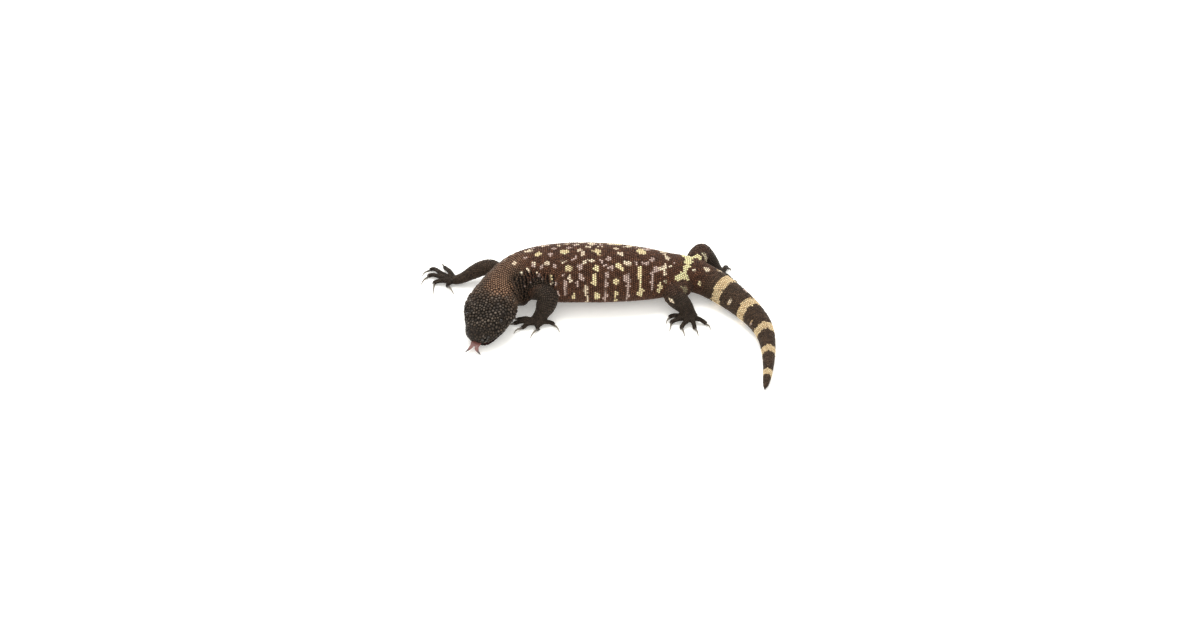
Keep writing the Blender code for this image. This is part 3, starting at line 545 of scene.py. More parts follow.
def claw_sweep(digit, claw):
    """A curved claw that starts at the end of its digit and reaches the floor."""
    end, away, _, _ = (v[0] for v in digit.frame(digit.length))
    start = end + GAP * away
    tip = np.array([*claw, CLAW_TIP_HEIGHT])
    middle = (start + tip) / 2 + np.array([0, 0, CLAW_ARCH])
    path = [start - 1.2 * away, start + 1.6 * away, middle, tip]
    length = np.linalg.norm(np.diff(path, axis=0), axis=1).sum()
    girth = [(length * n / 4, g * 0.72, g * 0.96, g * 0.96) for n, g in enumerate(CLAW_GIRTH)]
    return Sweep(path, girth)


SWEEPS = {"body": BODY}
for limb_name in LIMBS:
    SWEEPS[limb_name] = limb_sweep(limb_name)
    for number, ends in enumerate(DIGITS[limb_name]):
        SWEEPS[f"{limb_name}_{number + 1}"] = digit_sweep(SWEEPS[limb_name], *ends)


def round_table():
    """Distance round the body from the middle of the back, at each mm along and each 2 degrees of turn."""
    along = np.arange(0, BODY.length, 1.0)
    turn = np.radians(np.arange(-180, 181, 2))
    s, t = np.repeat(along, len(turn)), np.tile(turn, len(along))
    points = BODY.surface(s, t)[0].reshape(len(along), len(turn), 3)
    steps = np.linalg.norm(np.diff(points, axis=1), axis=2)
    total = np.concatenate([np.zeros((len(along), 1)), np.cumsum(steps, axis=1)], axis=1)
    return total - total[:, [len(turn) // 2]]


ROUND = round_table()


def round_from_back(along, turn):
    """Distance round the body from the middle of the back, positive towards the left, in mm."""
    row = np.clip(np.rint(along).astype(int), 0, len(ROUND) - 1)
    column = (np.degrees(np.arctan2(np.sin(turn), np.cos(turn))) + 180) / 2
    low = np.clip(column.astype(int), 0, ROUND.shape[1] - 2)
    share = column - low
    return ROUND[row, low] * (1 - share) + ROUND[row, low + 1] * share


class LizardSkinSettings(bpy.types.PropertyGroup):
    """Sizes and colours of the skin."""

    grain: FloatProperty(
        name="Mesh Size", description="Edge length of the skin's mesh",
        default=0.0011, min=0.0008, unit="LENGTH" 
    )
    inset: FloatProperty(
        name="Inset", description="How far the skin lies inside the plain solids",
        default=0.00035, unit="LENGTH" 
    )
    fold_depth: FloatProperty(
        name="Fold Depth", description="Depth of the folds on neck and shoulder",
        default=0.0036, unit="LENGTH" 
    )
    # Painted shade of the skin between the beads, and more in the folds
    painted_groove_shade: FloatProperty(
        name="Groove Shade", description="How dark the skin is between the beads",
        default=0.42, subtype="FACTOR" 
    )
    head: FloatVectorProperty(
        name="Head", description="Beads of the crown and the jaws",
        default=(0.028, 0.0195, 0.0128), subtype="COLOR" 
    )
    nape: FloatVectorProperty(
        name="Nape", description="Beads of the nape", default=(0.082, 0.040, 0.022), subtype="COLOR" 
    )
    trunk: FloatVectorProperty(
        name="Trunk", description="Dark ground of the trunk",
        default=(0.084, 0.036, 0.0185), subtype="COLOR" 
    )
    limb: FloatVectorProperty(
        name="Limbs", description="Beads of the limbs",
        default=(0.037, 0.0255, 0.0170), subtype="COLOR" 
    )
    tail: FloatVectorProperty(
        name="Tail", description="Dark ground of the tail",
        default=(0.066, 0.040, 0.0240), subtype="COLOR" 
    )
    # Painted glints: pale tops on many of the crown's scales
    painted_glint: FloatVectorProperty(
        name="Painted Glints", description="Tips of the crown's scales",
        default=(0.150, 0.118, 0.092), subtype="COLOR" 
    )
    # Tan tips of the nape's beads, and farther back over the neck a painted sheen
    nape_tan_and_sheen: FloatVectorProperty(
        name="Nape Tips", description="Tips of the nape's beads",
        default=(0.330, 0.190, 0.110), subtype="COLOR" 
    )
    mouth: FloatVectorProperty(
        name="Mouth", description="Lining of the mouth", default=(0.030, 0.007, 0.006), subtype="COLOR" 
    )


class LizardBeadSettings(bpy.types.PropertyGroup):
    """Sizes of the beads, as the distance from one to the next."""

    crown: FloatProperty(
        name="Crown", description="Bead spacing on the crown", default=0.0037, unit="LENGTH" 
    )
    snout: FloatProperty(
        name="Snout", description="Scale spacing on the snout", default=0.0027, unit="LENGTH" 
    )
    trunk: FloatProperty(
        name="Trunk", description="Bead spacing on the back", default=0.0027, unit="LENGTH" 
    )
    belly: FloatProperty(
        name="Belly", description="Scale spacing under the body", default=0.0036, unit="LENGTH" 
    )
    tail_tip: FloatProperty(
        name="Tail Tip", description="Bead spacing at the tail's tip", default=0.0018, unit="LENGTH" 
    )
    limb: FloatProperty(
        name="Limbs", description="Bead spacing on the limbs", default=0.0025, unit="LENGTH" 
    )
    digit: FloatProperty(
        name="Digits", description="Scale spacing on the digits", default=0.0016, unit="LENGTH" 
    )
    lid: FloatProperty(name="Lids", description="Scale spacing on the lids", default=0.0013, unit="LENGTH" )
    height: FloatProperty(
        name="Height", description="Height of a bead of the back", default=0.00105, unit="LENGTH" 
    )
    sides: IntProperty(name="Sides", description="Points round a large bead", default=9, min=5, max=16)


class LizardMarkingSettings(bpy.types.PropertyGroup):
    """Colours of the pale markings."""

    cream: FloatVectorProperty(
        name="Cream", description="Cream spots", default=(0.82, 0.66, 0.47), subtype="COLOR" 
    )
    yellow: FloatVectorProperty(
        name="Yellow", description="Yellow spots", default=(0.83, 0.665, 0.375), subtype="COLOR" 
    )
    rose: FloatVectorProperty(
        name="Rose", description="Pinkish spots", default=(0.52, 0.38, 0.32), subtype="COLOR" 
    )
    olive: FloatVectorProperty(
        name="Olive", description="Olive-yellow spot of the left thigh",
        default=(0.26, 0.21, 0.125), subtype="COLOR" 
    )
    band: FloatVectorProperty(
        name="Tail Bands", description="Pale beads of the tail's bands",
        default=(0.76, 0.575, 0.33), subtype="COLOR" 
    )
    pelvis: FloatVectorProperty(
        name="Pelvis Band", description="Bright band across the pelvis",
        default=(0.85, 0.74, 0.40), subtype="COLOR" 
    )
    stone: FloatVectorProperty(
        name="Stone", description="Pale stripe of the right thigh",
        default=(0.50, 0.43, 0.28), subtype="COLOR" 
    )
    tan: FloatVectorProperty(
        name="Tan", description="Browner beads among the tail's bands",
        default=(0.56, 0.37, 0.18), subtype="COLOR" 
    )
    raggedness: FloatProperty(
        name="Raggedness", description="How far the edge of a marking strays",
        default=0.0005, unit="LENGTH" 
    )


class LizardPartSettings(bpy.types.PropertyGroup):
    """Colours and sizes of the eyes, the claws and the tongue."""

    iris: FloatVectorProperty(
        name="Iris", description="Iris", default=(0.018, 0.011, 0.007), subtype="COLOR"
    )
    pupil: FloatVectorProperty(
        name="Pupil", description="Pupil", default=(0.004, 0.004, 0.004), subtype="COLOR" 
    )
    claw: FloatVectorProperty(
        name="Claw", description="Horn of a claw", default=(0.15, 0.125, 0.092), subtype="COLOR" 
    )
    claw_root: FloatVectorProperty(
        name="Claw Root", description="Darker horn at a claw's root",
        default=(0.045, 0.035, 0.027), subtype="COLOR" 
    )
    tongue: FloatVectorProperty(
        name="Tongue", description="Tongue", default=(0.205, 0.085, 0.070), subtype="COLOR" 
    )
    tongue_tip: FloatVectorProperty(
        name="Tongue Tips", description="Tips of the tongue",
        default=(0.040, 0.028, 0.027), subtype="COLOR" 
    )


class LizardStageSettings(bpy.types.PropertyGroup):
    """The floor, the light and the camera."""

    floor: FloatVectorProperty(
        name="Floor", description="Floor", default=(0.93, 0.918, 0.875), subtype="COLOR" 
    )
    floor_size: FloatProperty(
        name="Floor Size", description="Width of the floor", default=12.0, unit="LENGTH" 
    )
    glow: FloatProperty(
        name="Floor Glow", description="Light that shines up through the floor", default=0.3 
    )
    light: FloatProperty(name="Light", description="Power of the large light", default=19.0, unit="POWER" )
    sky: FloatProperty(name="Sky", description="Strength of the light from all sides", default=1.25)
    distance: FloatProperty(name="Distance", description="Camera to its aim", default=1.25, unit="LENGTH")
    elevation: FloatProperty(
        name="Elevation", description="Camera above the horizon",
        default=math.radians(40), unit="ROTATION" 
    )
    lens: FloatProperty(name="Lens", description="Focal length in mm", default=30.0)
    aim: FloatVectorProperty(
        name="Aim", description="Where the camera looks",
        default=(0.011, 0.017, 0.0), subtype="TRANSLATION" 
    )


def to_mm(length):
    """A length of the panel, which is in metres, in mm."""
    return length / MM


# Mesh building


def add_mesh(name, points, corners, counts, material):
    """An object from points in mm and from faces given as one list of corners and the corners of each."""
    mesh = bpy.data.meshes.new(name)
    mesh.vertices.add(len(points))
    mesh.vertices.foreach_set("co", (np.asarray(points) * MM).astype(np.float32).ravel())
    mesh.loops.add(len(corners))
    mesh.loops.foreach_set("vertex_index", np.asarray(corners, np.int32))
    mesh.polygons.add(len(counts))
    starts = np.concatenate([[0], np.cumsum(counts)[:-1]])
    mesh.polygons.foreach_set("loop_start", starts.astype(np.int32))
    mesh.update(calc_edges=True)
    mesh.validate()
    mesh.shade_smooth()
    obj = bpy.data.objects.new(name, mesh)
    bpy.context.scene.collection.objects.link(obj)
    if material:
        mesh.materials.append(material)
    return obj


def paint(obj, colours, rise):
    """Stores a colour and a height share on every point, for the materials to read."""
    tint = obj.data.color_attributes.new(name="tint", type="FLOAT_COLOR", domain="POINT")
    rgba = np.concatenate([colours, np.ones((len(colours), 1))], axis=1)
    tint.data.foreach_set("color", rgba.astype(np.float32).ravel())
    height = obj.data.attributes.new("rise", "FLOAT", "POINT")
    height.data.foreach_set("value", np.asarray(rise, np.float32))


def ring_faces(rings, around, first=0):
    """Corners and corner counts of the quads between rings and of the two caps."""
    here = np.arange((rings - 1) * around).reshape(rings - 1, around)
    after = np.roll(here, -1, axis=1)
    quads = np.stack([here, after, after + around, here + around], axis=2).reshape(-1, 4) + first
    start = np.arange(around)[::-1] + first
    end = np.arange(around) + (rings - 1) * around + first
    corners = np.concatenate([quads.ravel(), start, end])
    counts = np.concatenate([np.full(len(quads), 4), [around, around]])
    return corners, counts


def lofted(sweep, start, end, step, around, lift=0.0):
    """A closed shell of a stretch of a sweep: points, distances, turns, corners and corner counts."""
    stops = np.linspace(start, end, max(2, round((end - start) / step)) + 1)
    turn = np.arange(around) / around * 2 * math.pi
    s, t = np.repeat(stops, around), np.tile(turn, len(stops))
    points, _ = sweep.surface(s, t, lift)
    return points, s, t, *ring_faces(len(stops), around)


def applied(obj):
    """Applies the modifiers of obj and returns it."""
    bpy.context.view_layer.update()
    graph = bpy.context.evaluated_depsgraph_get()
    mesh = bpy.data.meshes.new_from_object(obj.evaluated_get(graph), depsgraph=graph)
    obj.modifiers.clear()
    old = obj.data
    obj.data = mesh
    bpy.data.meshes.remove(old)
    return obj


def cut(obj, operation, pieces):
    """Cuts or crosses obj with each piece in turn, and removes the pieces."""
    for piece in pieces:
        boolean = obj.modifiers.new(operation.lower(), "BOOLEAN")
        boolean.operation = operation
        boolean.object = piece
        boolean.solver = "EXACT"
    applied(obj)
    for piece in pieces:
        bpy.data.objects.remove(piece)
    return obj


def turn_outwards(obj):
    """Turns the faces of a closed mesh outwards."""
    bm = bmesh.new()
    bm.from_mesh(obj.data)
    bmesh.ops.recalc_face_normals(bm, faces=bm.faces)
    bm.to_mesh(obj.data)
    bm.free()


def join(objects):
    """Joins mesh objects into the first one."""
    bpy.ops.object.select_all(action="DESELECT")
    for obj in objects:
        obj.select_set(True)
    bpy.context.view_layer.objects.active = objects[0]
    bpy.ops.object.join()
    return objects[0]


def fused(obj, size):
    """Fuses overlapping shells into one surface of even mesh."""
    remesh = obj.modifiers.new("fuse", "REMESH")
    remesh.mode = "VOXEL"
    remesh.voxel_size = size
    remesh.adaptivity = 0
    return applied(obj)


def read_points(mesh):
    points = np.empty(len(mesh.vertices) * 3, np.float32)
    mesh.vertices.foreach_get("co", points)
    return points.reshape(-1, 3).astype(float) / MM


def read_edges(mesh):
    edges = np.empty(len(mesh.edges) * 2, np.int32)
    mesh.edges.foreach_get("vertices", edges)
    return edges.reshape(-1, 2)


def write_points(mesh, points):
    mesh.vertices.foreach_set("co", (points * MM).astype(np.float32).ravel())
    mesh.update()


def neighbour_mean(values, edges):
    """The mean of each point's neighbours along the edges."""
    total = np.zeros_like(values)
    np.add.at(total, edges[:, 0], values[edges[:, 1]])
    np.add.at(total, edges[:, 1], values[edges[:, 0]])
    count = np.bincount(edges.ravel(), minlength=len(values))
    return total / np.maximum(count, 1)[:, None]


def smooth_evenly(points, edges, rounds):
    """Takes out the steps of an even mesh and keeps its volume."""
    for _ in range(rounds):
        points = points + 0.5 * (neighbour_mean(points, edges) - points)
        points = points - 0.52 * (neighbour_mean(points, edges) - points)
    return points


def smooth_where(points, edges, weight, rounds):
    """Smooths points by a weight of each."""
    for _ in range(rounds):
        points = points + 0.6 * weight[:, None] * (neighbour_mean(points, edges) - points)
    return points


# The head's own frame


def head_frame():
    """The tip of the snout, and the ways back, left and up there."""
    centre, away, left, up = (v[0] for v in BODY.frame(20))
    return centre - 20 * away, away, left, up


def head_point(along, aside, upward):
    """A place in mm given in the frame of the head: back from the snout, to the left and up."""
    tip, away, left, up = head_frame()
    return tip + along * away + aside * left + upward * up


def jaw_turn():
    """The move that opens the lower jaw about the corner of the mouth, as a matrix in mm."""
    hinge = Vector(head_point(MOUTH_CORNER, 0, mouth_height(MOUTH_CORNER)))
    turn = Matrix.Rotation(JAW_OPEN, 4, Vector(head_frame()[2]))
    return Matrix.Translation(hinge) @ turn @ Matrix.Translation(-hinge)


def head_block(low, high, open_angle):
    """A box in the frame of the head, turned open about the corner of the mouth."""
    _, *axes = head_frame()
    away, left, up = (Vector(v) for v in axes)
    corners = [(x, y, z) for x in (low[0], high[0]) for y in (low[1], high[1]) for z in (low[2], high[2])]
    hinge = Vector(head_point(MOUTH_CORNER, 0, mouth_height(MOUTH_CORNER)))
    turn = Matrix.Rotation(open_angle + math.atan(MOUTH_SLOPE), 3, left)
    points = [hinge + turn @ (x * away + y * left + z * up) for x, y, z in corners]
    faces = [(0, 1, 3, 2), (4, 6, 7, 5), (0, 4, 5, 1), (2, 3, 7, 6), (0, 2, 6, 4), (1, 5, 7, 3)]
    block = add_mesh("block", [tuple(p) for p in points], np.ravel(faces), np.full(6, 4), None)
    turn_outwards(block)
    return block


def on_head(along, turn, side):
    """A place on the head's surface, the way out, the way back along the head and the way across both."""
    away = BODY.frame(along)[1][0]
    place, out = BODY.surface(np.array([along], float), np.array([side * turn]))
    place, out = place[0], out[0]
    return place, out, away, np.cross(out, away)


def seen_from(points, along, turn, side):
    """How far points lie back, across and out from a place on the head, and those three directions."""
    place, out, away, across = on_head(along, turn, side)
    offset = points - place
    return offset @ away, offset @ across, offset @ out, away, across, out


# The skin


# The finished skin: its points, the way out, part, distance, turn and fold of each, and its tree
SKIN = SimpleNamespace()


def body_shells(inset):
    """Overlapping closed shells of the whole body, and the places that tell each part's distances."""
    shells, tags = [], []

    def add(region, points, s, t, corners, counts):
        shells.append(add_mesh("shell", points, corners, counts, None))
        tags.append((np.full(len(points), REGIONS.index(region)), s, t, points))

    head = lofted(BODY, 0, 80, 0.8, 168, -inset)
    reach, deep = 70, 40
    add("body", *head)
    cut(shells[-1], "DIFFERENCE", [
        head_block((-reach, -reach, -deep), (GAP, reach, GAP), 0),
        head_block((-reach, -reach, -deep), (GAP, reach, GAP), JAW_OPEN),
    ])
    jaw = add_mesh("jaw", head[0], head[3], head[4], None)
    cut(jaw, "INTERSECT", [head_block((-reach, -reach, -deep), (0, reach, 0), 0)])
    turn = np.array(jaw_turn())
    opened = read_points(jaw.data) @ turn[:3, :3].T + turn[:3, 3]
    write_points(jaw.data, opened)
    shells.append(jaw)
    below = BODY.section(head[1], head[2])[1] < mouth_height(head[1])
    below &= head[1] < MOUTH_CORNER
    swung = head[0][below] @ turn[:3, :3].T + turn[:3, 3]
    tags.append((np.zeros(len(swung), int), head[1][below], head[2][below], swung))
    add("body", *lofted(BODY, 72, BODY.length, 1.4, 150, -inset))
    for limb in LIMBS:
        sweep = SWEEPS[limb]
        add(limb, *lofted(sweep, 0, sweep.length, 1.2, 56, -inset))
        for n in range(1, 6):
            digit = SWEEPS[f"{limb}_{n}"]
            add(f"{limb}_{n}", *lofted(digit, 0, digit.length, 0.7, 26, -0.6 * inset))
    return shells, [np.concatenate(column) for column in zip(*tags)]


def tag_points(points, tags):
    """The part, distance and turn of the nearest tagged place to each point."""
    tree = KDTree(len(tags[3]))
    for i, place in enumerate(tags[3]):
        tree.insert(place, i)
    tree.balance()
    nearest = np.array([tree.find(p)[1] for p in points])
    return tags[0][nearest], tags[1][nearest], tags[2][nearest]


def spread_mask(mask, edges, rounds, fade):
    """Lets a mask of points spread along the edges, fading as it goes."""
    for _ in range(rounds):
        grown = mask.copy()
        np.maximum.at(grown, edges[:, 0], mask[edges[:, 1]] * fade)
        np.maximum.at(grown, edges[:, 1], mask[edges[:, 0]] * fade)
        mask = grown
    return mask


def soften_joins(points, edges, region):
    """Rounds the crease where a limb leaves the body and where a digit leaves its palm."""
    first, second = region[edges[:, 0]], region[edges[:, 1]]
    limb_join = (np.minimum(first, second) == 0) & (np.maximum(first, second) > 0)
    digit_join = (first != second) & ~limb_join
    for joins, spread, fade, rounds in ((limb_join, 7, 0.86, 30), (digit_join, 2, 0.7, 6)):
        mask = np.zeros(len(points))
        mask[edges[joins].ravel()] = 1
        points = smooth_where(points, edges, spread_mask(mask, edges, spread, fade), rounds)
    return points


def fine_places():
    """The places on the head that need a finer mesh: centre, radius in mm and times halved."""
    places = []
    for side in (1, -1):
        places.append((on_head(EYE_ALONG, EYE_TURN, side)[0], 6.0, 3))
        places.append((on_head(NOSTRIL_ALONG, NOSTRIL_TURN, side)[0], 4.2, 2))
        places.append((on_head(EAR_ALONG, EAR_TURN, side)[0], 5.0, 2))
    return places


def refine(obj):
    """Halves the edges near the eyes, the nostrils and the ears."""
    bm = bmesh.new()
    bm.from_mesh(obj.data)
    for centre, radius, times in fine_places():
        for n in range(times):
            near = Vector(centre * MM)
            limit = (radius - 0.6 * n) * MM
            edges = [e for e in bm.edges if all((v.co - near).length < limit for v in e.verts)]
            bmesh.ops.subdivide_edges(bm, edges=edges, cuts=1, use_grid_fill=True, smooth=0.0)
    bmesh.ops.triangulate(bm, faces=[f for f in bm.faces if len(f.verts) > 4])
    bm.to_mesh(obj.data)
    bm.free()


def lid_opening(angle):
    """Half size of the opening between the lids in each direction: long and low, as the real one is."""
    half_long, half_high = LID_OPENING
    return 1 / np.sqrt((np.cos(angle) / half_long) ** 2 + (np.sin(angle) / half_high) ** 2)


def shape_lids(points):
    """Sinks the skin behind each eyeball, and raises thick lids with a fold round its opening."""
    for side in (1, -1):
        x, y, h, away, across, out = seen_from(points, EYE_ALONG, EYE_TURN, side)
        distance = np.hypot(x, y)
        near = (distance < 7.5) & (np.abs(h) < 5)
        angle = np.arctan2(y, x)
        opening = lid_opening(angle)
        ratio = distance / opening
        drop = np.sqrt(np.maximum(EYE_RADIUS**2 - np.minimum(distance, EYE_RADIUS) ** 2, 0))
        ball = -(EYE_RADIUS - EYE_PROUD) + drop
        beyond = distance - opening
        hug = np.maximum(ball, -0.3)
        lid = hug + LID_THICKNESS
        for rise, middle, width in LID_RINGS:
            lid = lid + rise * bell(beyond - middle, width)
        outside = ramp(beyond, *LID_FADE)
        lid = lid * (1 - outside) + (h + 0.25 * bell(beyond - 2.4, 0.8)) * outside
        inside = ratio < 1
        target = np.where(inside, np.minimum(ball - 0.9, h), lid)
        rim = near & (np.abs(ratio - 1) < 0.09)
        slide = np.where(inside, 0.985, 1.03) * opening / np.maximum(distance, 0.05) - 1
        shift = (target - h)[:, None] * out
        brow = BROW_RIDGE * bell(side * y - 5.4 + 0.06 * x**2, 1.5) * bell(x + 0.5, 6) * (np.abs(h) < 5)
        points = points + np.where(near[:, None], shift, 0) + brow[:, None] * out
        spread = slide[:, None] * (x[:, None] * away + y[:, None] * across)
        points = points + np.where(rim[:, None], spread, 0)
    return points


def shape_pits(points):
    """Presses in the nostrils and the slits of the ears, each with a low rim."""
    for along, turn, half_long, half_across, depth, _, _ in PITS:
        for side in (1, -1):
            x, y, h, _, _, out = seen_from(points, along, turn, side)
            ratio = np.hypot(x / half_long, y / half_across)
            press = -depth * (1 - ramp(ratio, 0.55, 1.15)) + PIT_RIM * bell(ratio - 1.55, 0.35)
            points = points + np.where(np.abs(h) < NEAR_HEAD, press, 0)[:, None] * out
    return points


def fold_share(along, turn):
    """How deep each place lies in a fold of loose skin, from 0 to 1: sharp folds on the left of the neck,
    weaker ones on the right, and creases under the throat."""
    around = round_from_back(along, turn)
    share = np.zeros(len(along))
    rows = [(*fold, 1.0) for fold in FOLDS]
    rows += [(a + 3, -r - 4, b + 3, -q, 0.45) for a, r, b, q in FOLDS[:8]]
    for top, high, foot, low, strength in rows:
        reach = np.clip((around - high) / (low - high), -0.15, 1.15)
        middle = top + (foot - top) * reach + 0.7 * np.sin(around * 0.31 + top)
        length = ramp(reach, -0.14, 0.12) * (1 - ramp(reach, 0.85, 1.14))
        share = np.maximum(share, strength * length * np.exp(-np.abs(along - middle) / FOLD_WIDTH))
    wrapped = np.mod(turn, 2 * math.pi)
    throat = 0.5 * crests(along - 58, 6.2, 4) * bell(wrapped - math.pi, 0.8)
    throat = throat * ramp(along, 52, 60) * (1 - ramp(along, 90, 104))
    return np.maximum(share, throat)


def flank_creases(along, turn):
    """Faint upright creases low on the flanks, and shallow rings round the tail."""
    wrapped = np.mod(turn, 2 * math.pi)
    flanks = bell(wrapped - math.radians(105), 0.5) + bell(wrapped - math.radians(255), 0.5)
    wander = 1.3 * np.sin(wrapped * 7 + along * 0.05)
    trunk = -0.35 * crests(along + wander, 7.3, 3)
    tail = -0.2 * crests(along, 8.8, 3)
    on_trunk = ramp(along, 135, 150) * (1 - ramp(along, 318, 335))
    return trunk * flanks * on_trunk + tail * ramp(along, 345, 360) * (1 - ramp(along, 500, 540))


def joint_creases(region, along):
    """Creases over the wrists and the joints of the digits."""
    depth = np.zeros(len(along))
    for name in LIMBS:
        sweep = SWEEPS[name]
        here = region == REGIONS.index(name)
        bend = sweep.stops[2] + 3
        nearest = np.rint((along - bend) / 4.6) * 2.3
        depth -= here * 0.5 * bell((along - bend) / 2.0 - nearest, 0.4) * bell(along - bend, 9)
    for name in DIGIT_REGIONS:
        here = region == REGIONS.index(name)
        depth -= here * 0.16 * crests(along, 2.6, 2)
    return depth


def points_out(mesh):
    normals = np.empty(len(mesh.vertices) * 3, np.float32)
    mesh.vertex_normals.foreach_get("vector", normals)
    return normals.reshape(-1, 3).astype(float)


def build_skin(settings):
    """Makes the skin and keeps what the beads need to know of it."""
    inset = to_mm(settings.inset)
    shells, tags = body_shells(inset)
    obj = fused(join(shells), settings.grain)
    obj.name = obj.data.name = "skin"
    mesh = obj.data
    edges = read_edges(mesh)
    points = smooth_evenly(read_points(mesh), edges, 5)
    points = soften_joins(points, edges, tag_points(points, tags)[0])
    write_points(mesh, points)
    refine(obj)
    mesh = obj.data
    points = read_points(mesh)
    region, along, turn = tag_points(points, tags)
    normals = points_out(mesh)
    on_body = region == 0
    SKIN.fold = np.where(on_body, fold_share(along, turn), 0)
    lift = -to_mm(settings.fold_depth) * SKIN.fold + np.where(on_body, flank_creases(along, turn), 0)
    lift = lift + joint_creases(region, along)
    points = points + lift[:, None] * normals
    points = shape_pits(shape_lids(points))
    points[:, 2] = np.maximum(points[:, 2], FLOOR + inset)
    write_points(mesh, points)
    mesh.shade_smooth()
    SKIN.points = points
    SKIN.normals = points_out(mesh)
    SKIN.region, SKIN.along, SKIN.turn = region, along, turn
    mesh.calc_loop_triangles()
    triangles = np.empty(len(mesh.loop_triangles) * 3, np.int32)
    mesh.loop_triangles.foreach_get("vertices", triangles)
    SKIN.triangles = triangles.reshape(-1, 3)
    SKIN.tree = BVHTree.FromPolygons(points.tolist(), SKIN.triangles.tolist())
    return obj


def nearest_on_skin(places):
    """The nearest place on the skin to each place, the way out there, and the nearest point's number."""
    found = [SKIN.tree.find_nearest(p) for p in places]
    spots = np.array([f[0] for f in found])
    corners = SKIN.triangles[np.array([f[2] for f in found])]
    gaps = np.linalg.norm(SKIN.points[corners] - spots[:, None], axis=2)
    share = 1 / np.maximum(gaps, 0.02)
    share /= share.sum(axis=1, keepdims=True)
    normals = unit((SKIN.normals[corners] * share[:, :, None]).sum(axis=1))
    return spots, normals, corners[np.arange(len(corners)), gaps.argmin(axis=1)]


# Markings and painted shade, shared by the skin and the beads


def all_spots():
    """The spots of the left side and, strayed a little, their like on the right."""
    rng = np.random.default_rng(SEED)
    spots = [spot for row in SPOT_ROWS.values() for spot in row]
    for along, around, half_long, half_round, colour in list(spots):
        if around > MIRRORED_BEYOND:
            stray = rng.normal(0, 1, 3)
            size = 1 + 0.15 * stray[2]
            place = (along + 5 * stray[0], -around + 2.5 * stray[1])
            spots.append((*place, half_long * size, half_round * size, colour))
    return spots


def ripple(points):
    """A smooth wander with no set direction, from -1 to 1, over mm places."""
    x, y, z = points.T
    wave = np.sin(1.7 * x + 1.1 * y) + np.sin(1.3 * y - 1.9 * z + 2) + np.sin(1.6 * z + 0.9 * x + 4)
    return wave / 3


def plain(colour, places):
    """One colour for every place."""
    return np.tile(np.array(colour), (len(places), 1))


def blend(colours, other, share):
    """Colours moved towards another by a share of each place."""
    return colours + (np.asarray(other)[None] - colours) * share[:, None]


def coat_colours(region, along, turn, points, sharp):
    """The animal's colour at each place, with painted shade and sheen. A bead has one colour, so its edge
    is sharp.
    """
    skin = bpy.context.scene.lizard_skin
    marks = bpy.context.scene.lizard_marking
    wander = ripple(points)
    around = np.where(region == 0, round_from_back(along, turn), 0)
    side = from_top(turn)
    ragged = to_mm(marks.raggedness) * wander
    on_body = region == 0
    body = plain(skin.head, along)
    body = blend(body, skin.tail, ramp(along, *HEAD_TO_NECK))
    body = blend(body, skin.nape, nape_and_sheen_share(along, around, wander))
    body = blend(body, skin.trunk, ramp(along, *NECK_TO_TRUNK))
    body = blend(body, skin.tail, ramp(along, *TRUNK_TO_TAIL))
    body = paint_spots(body, along, around, ragged, marks, sharp)
    body = paint_pelvis(body, along, around, ragged, marks, sharp)
    body = paint_bands(body, along, side, ragged, marks, sharp)
    colours = plain(skin.limb, along)
    for name in LIMBS:
        here = region == REGIONS.index(name)
        near_trunk = 1 - ramp(along, *(ARM_TO_TRUNK if name.startswith("arm") else LEG_TO_TRUNK))
        colours = blend(colours, skin.trunk, here * 0.5 * near_trunk)
    # Painted shade on the left shoulder, between the folds and the arm
    shoulder = bell(along - SHOULDER_ALONG, SHOULDER_LENGTH) * ramp(around, *SHOULDER_ROUND)
    body = body * (1 - SHOULDER_PAINTED_SHADE * shoulder)[:, None]
    # Painted shade inside the folds of the neck and shoulder
    body = body * (1 - FOLD_PAINTED_SHADE * ramp(fold_share(along, turn), *FOLD_EDGE))[:, None]
    for name in ("arm_left", "arm_right"):
        away = np.linalg.norm(points - np.array(LIMBS[name][1], float), axis=1)
        body = blend(body, skin.limb, 1 - ramp(away + 1.5 * wander, *ARM_ROOT))
    far_arm = region == REGIONS.index("arm_right")
    colours = blend(colours, skin.tail, FAR_ARM_SHARE * far_arm)
    colours = np.where(on_body[:, None], body, colours)
    return paint_limbs(colours, region, along, turn, ragged, marks, sharp)


def nape_and_sheen_share(along, around, wander):
    """The brown patch behind the head, and its fainter stretch back over the top of the neck, partly a
    painted sheen.
    """
    patch = np.hypot((along + 2 * wander - 72) / 15, (around - 5) / 20)
    # Over the top of the neck this stretch is partly a painted sheen
    behind = np.hypot((along + 2 * wander - 98) / 30, (around + 6) / 18)
    return np.maximum(1 - ramp(patch, 0.5, 1.2), 0.7 * (1 - ramp(behind, 0.5, 1.2)))


def inside(measure, sharp):
    """1 inside a marking and 0 outside, from a measure that is 0 on its edge and grows outwards in mm."""
    return 1 - ramp(measure, -0.3, 0.3) if sharp else 1 - ramp(measure, -0.5, 0.9)


def oval(x, y, half_x, half_y):
    """Roughly how far in mm each place lies outside an oval."""
    return (np.sqrt((x / half_x) ** 2 + (y / half_y) ** 2) - 1) * min(half_x, half_y)


def paint_spots(body, along, around, ragged, marks, sharp):
    """The pale spots and bars of back, flanks and tail."""
    for spot_along, spot_around, half_long, half_round, colour in all_spots():
        near = np.abs(along - spot_along) < half_long + 3
        edge = oval(along[near] - spot_along, around[near] - spot_around, half_long, half_round)
        body[near] = blend(body[near], getattr(marks, colour), inside(edge + ragged[near], sharp))
    return body


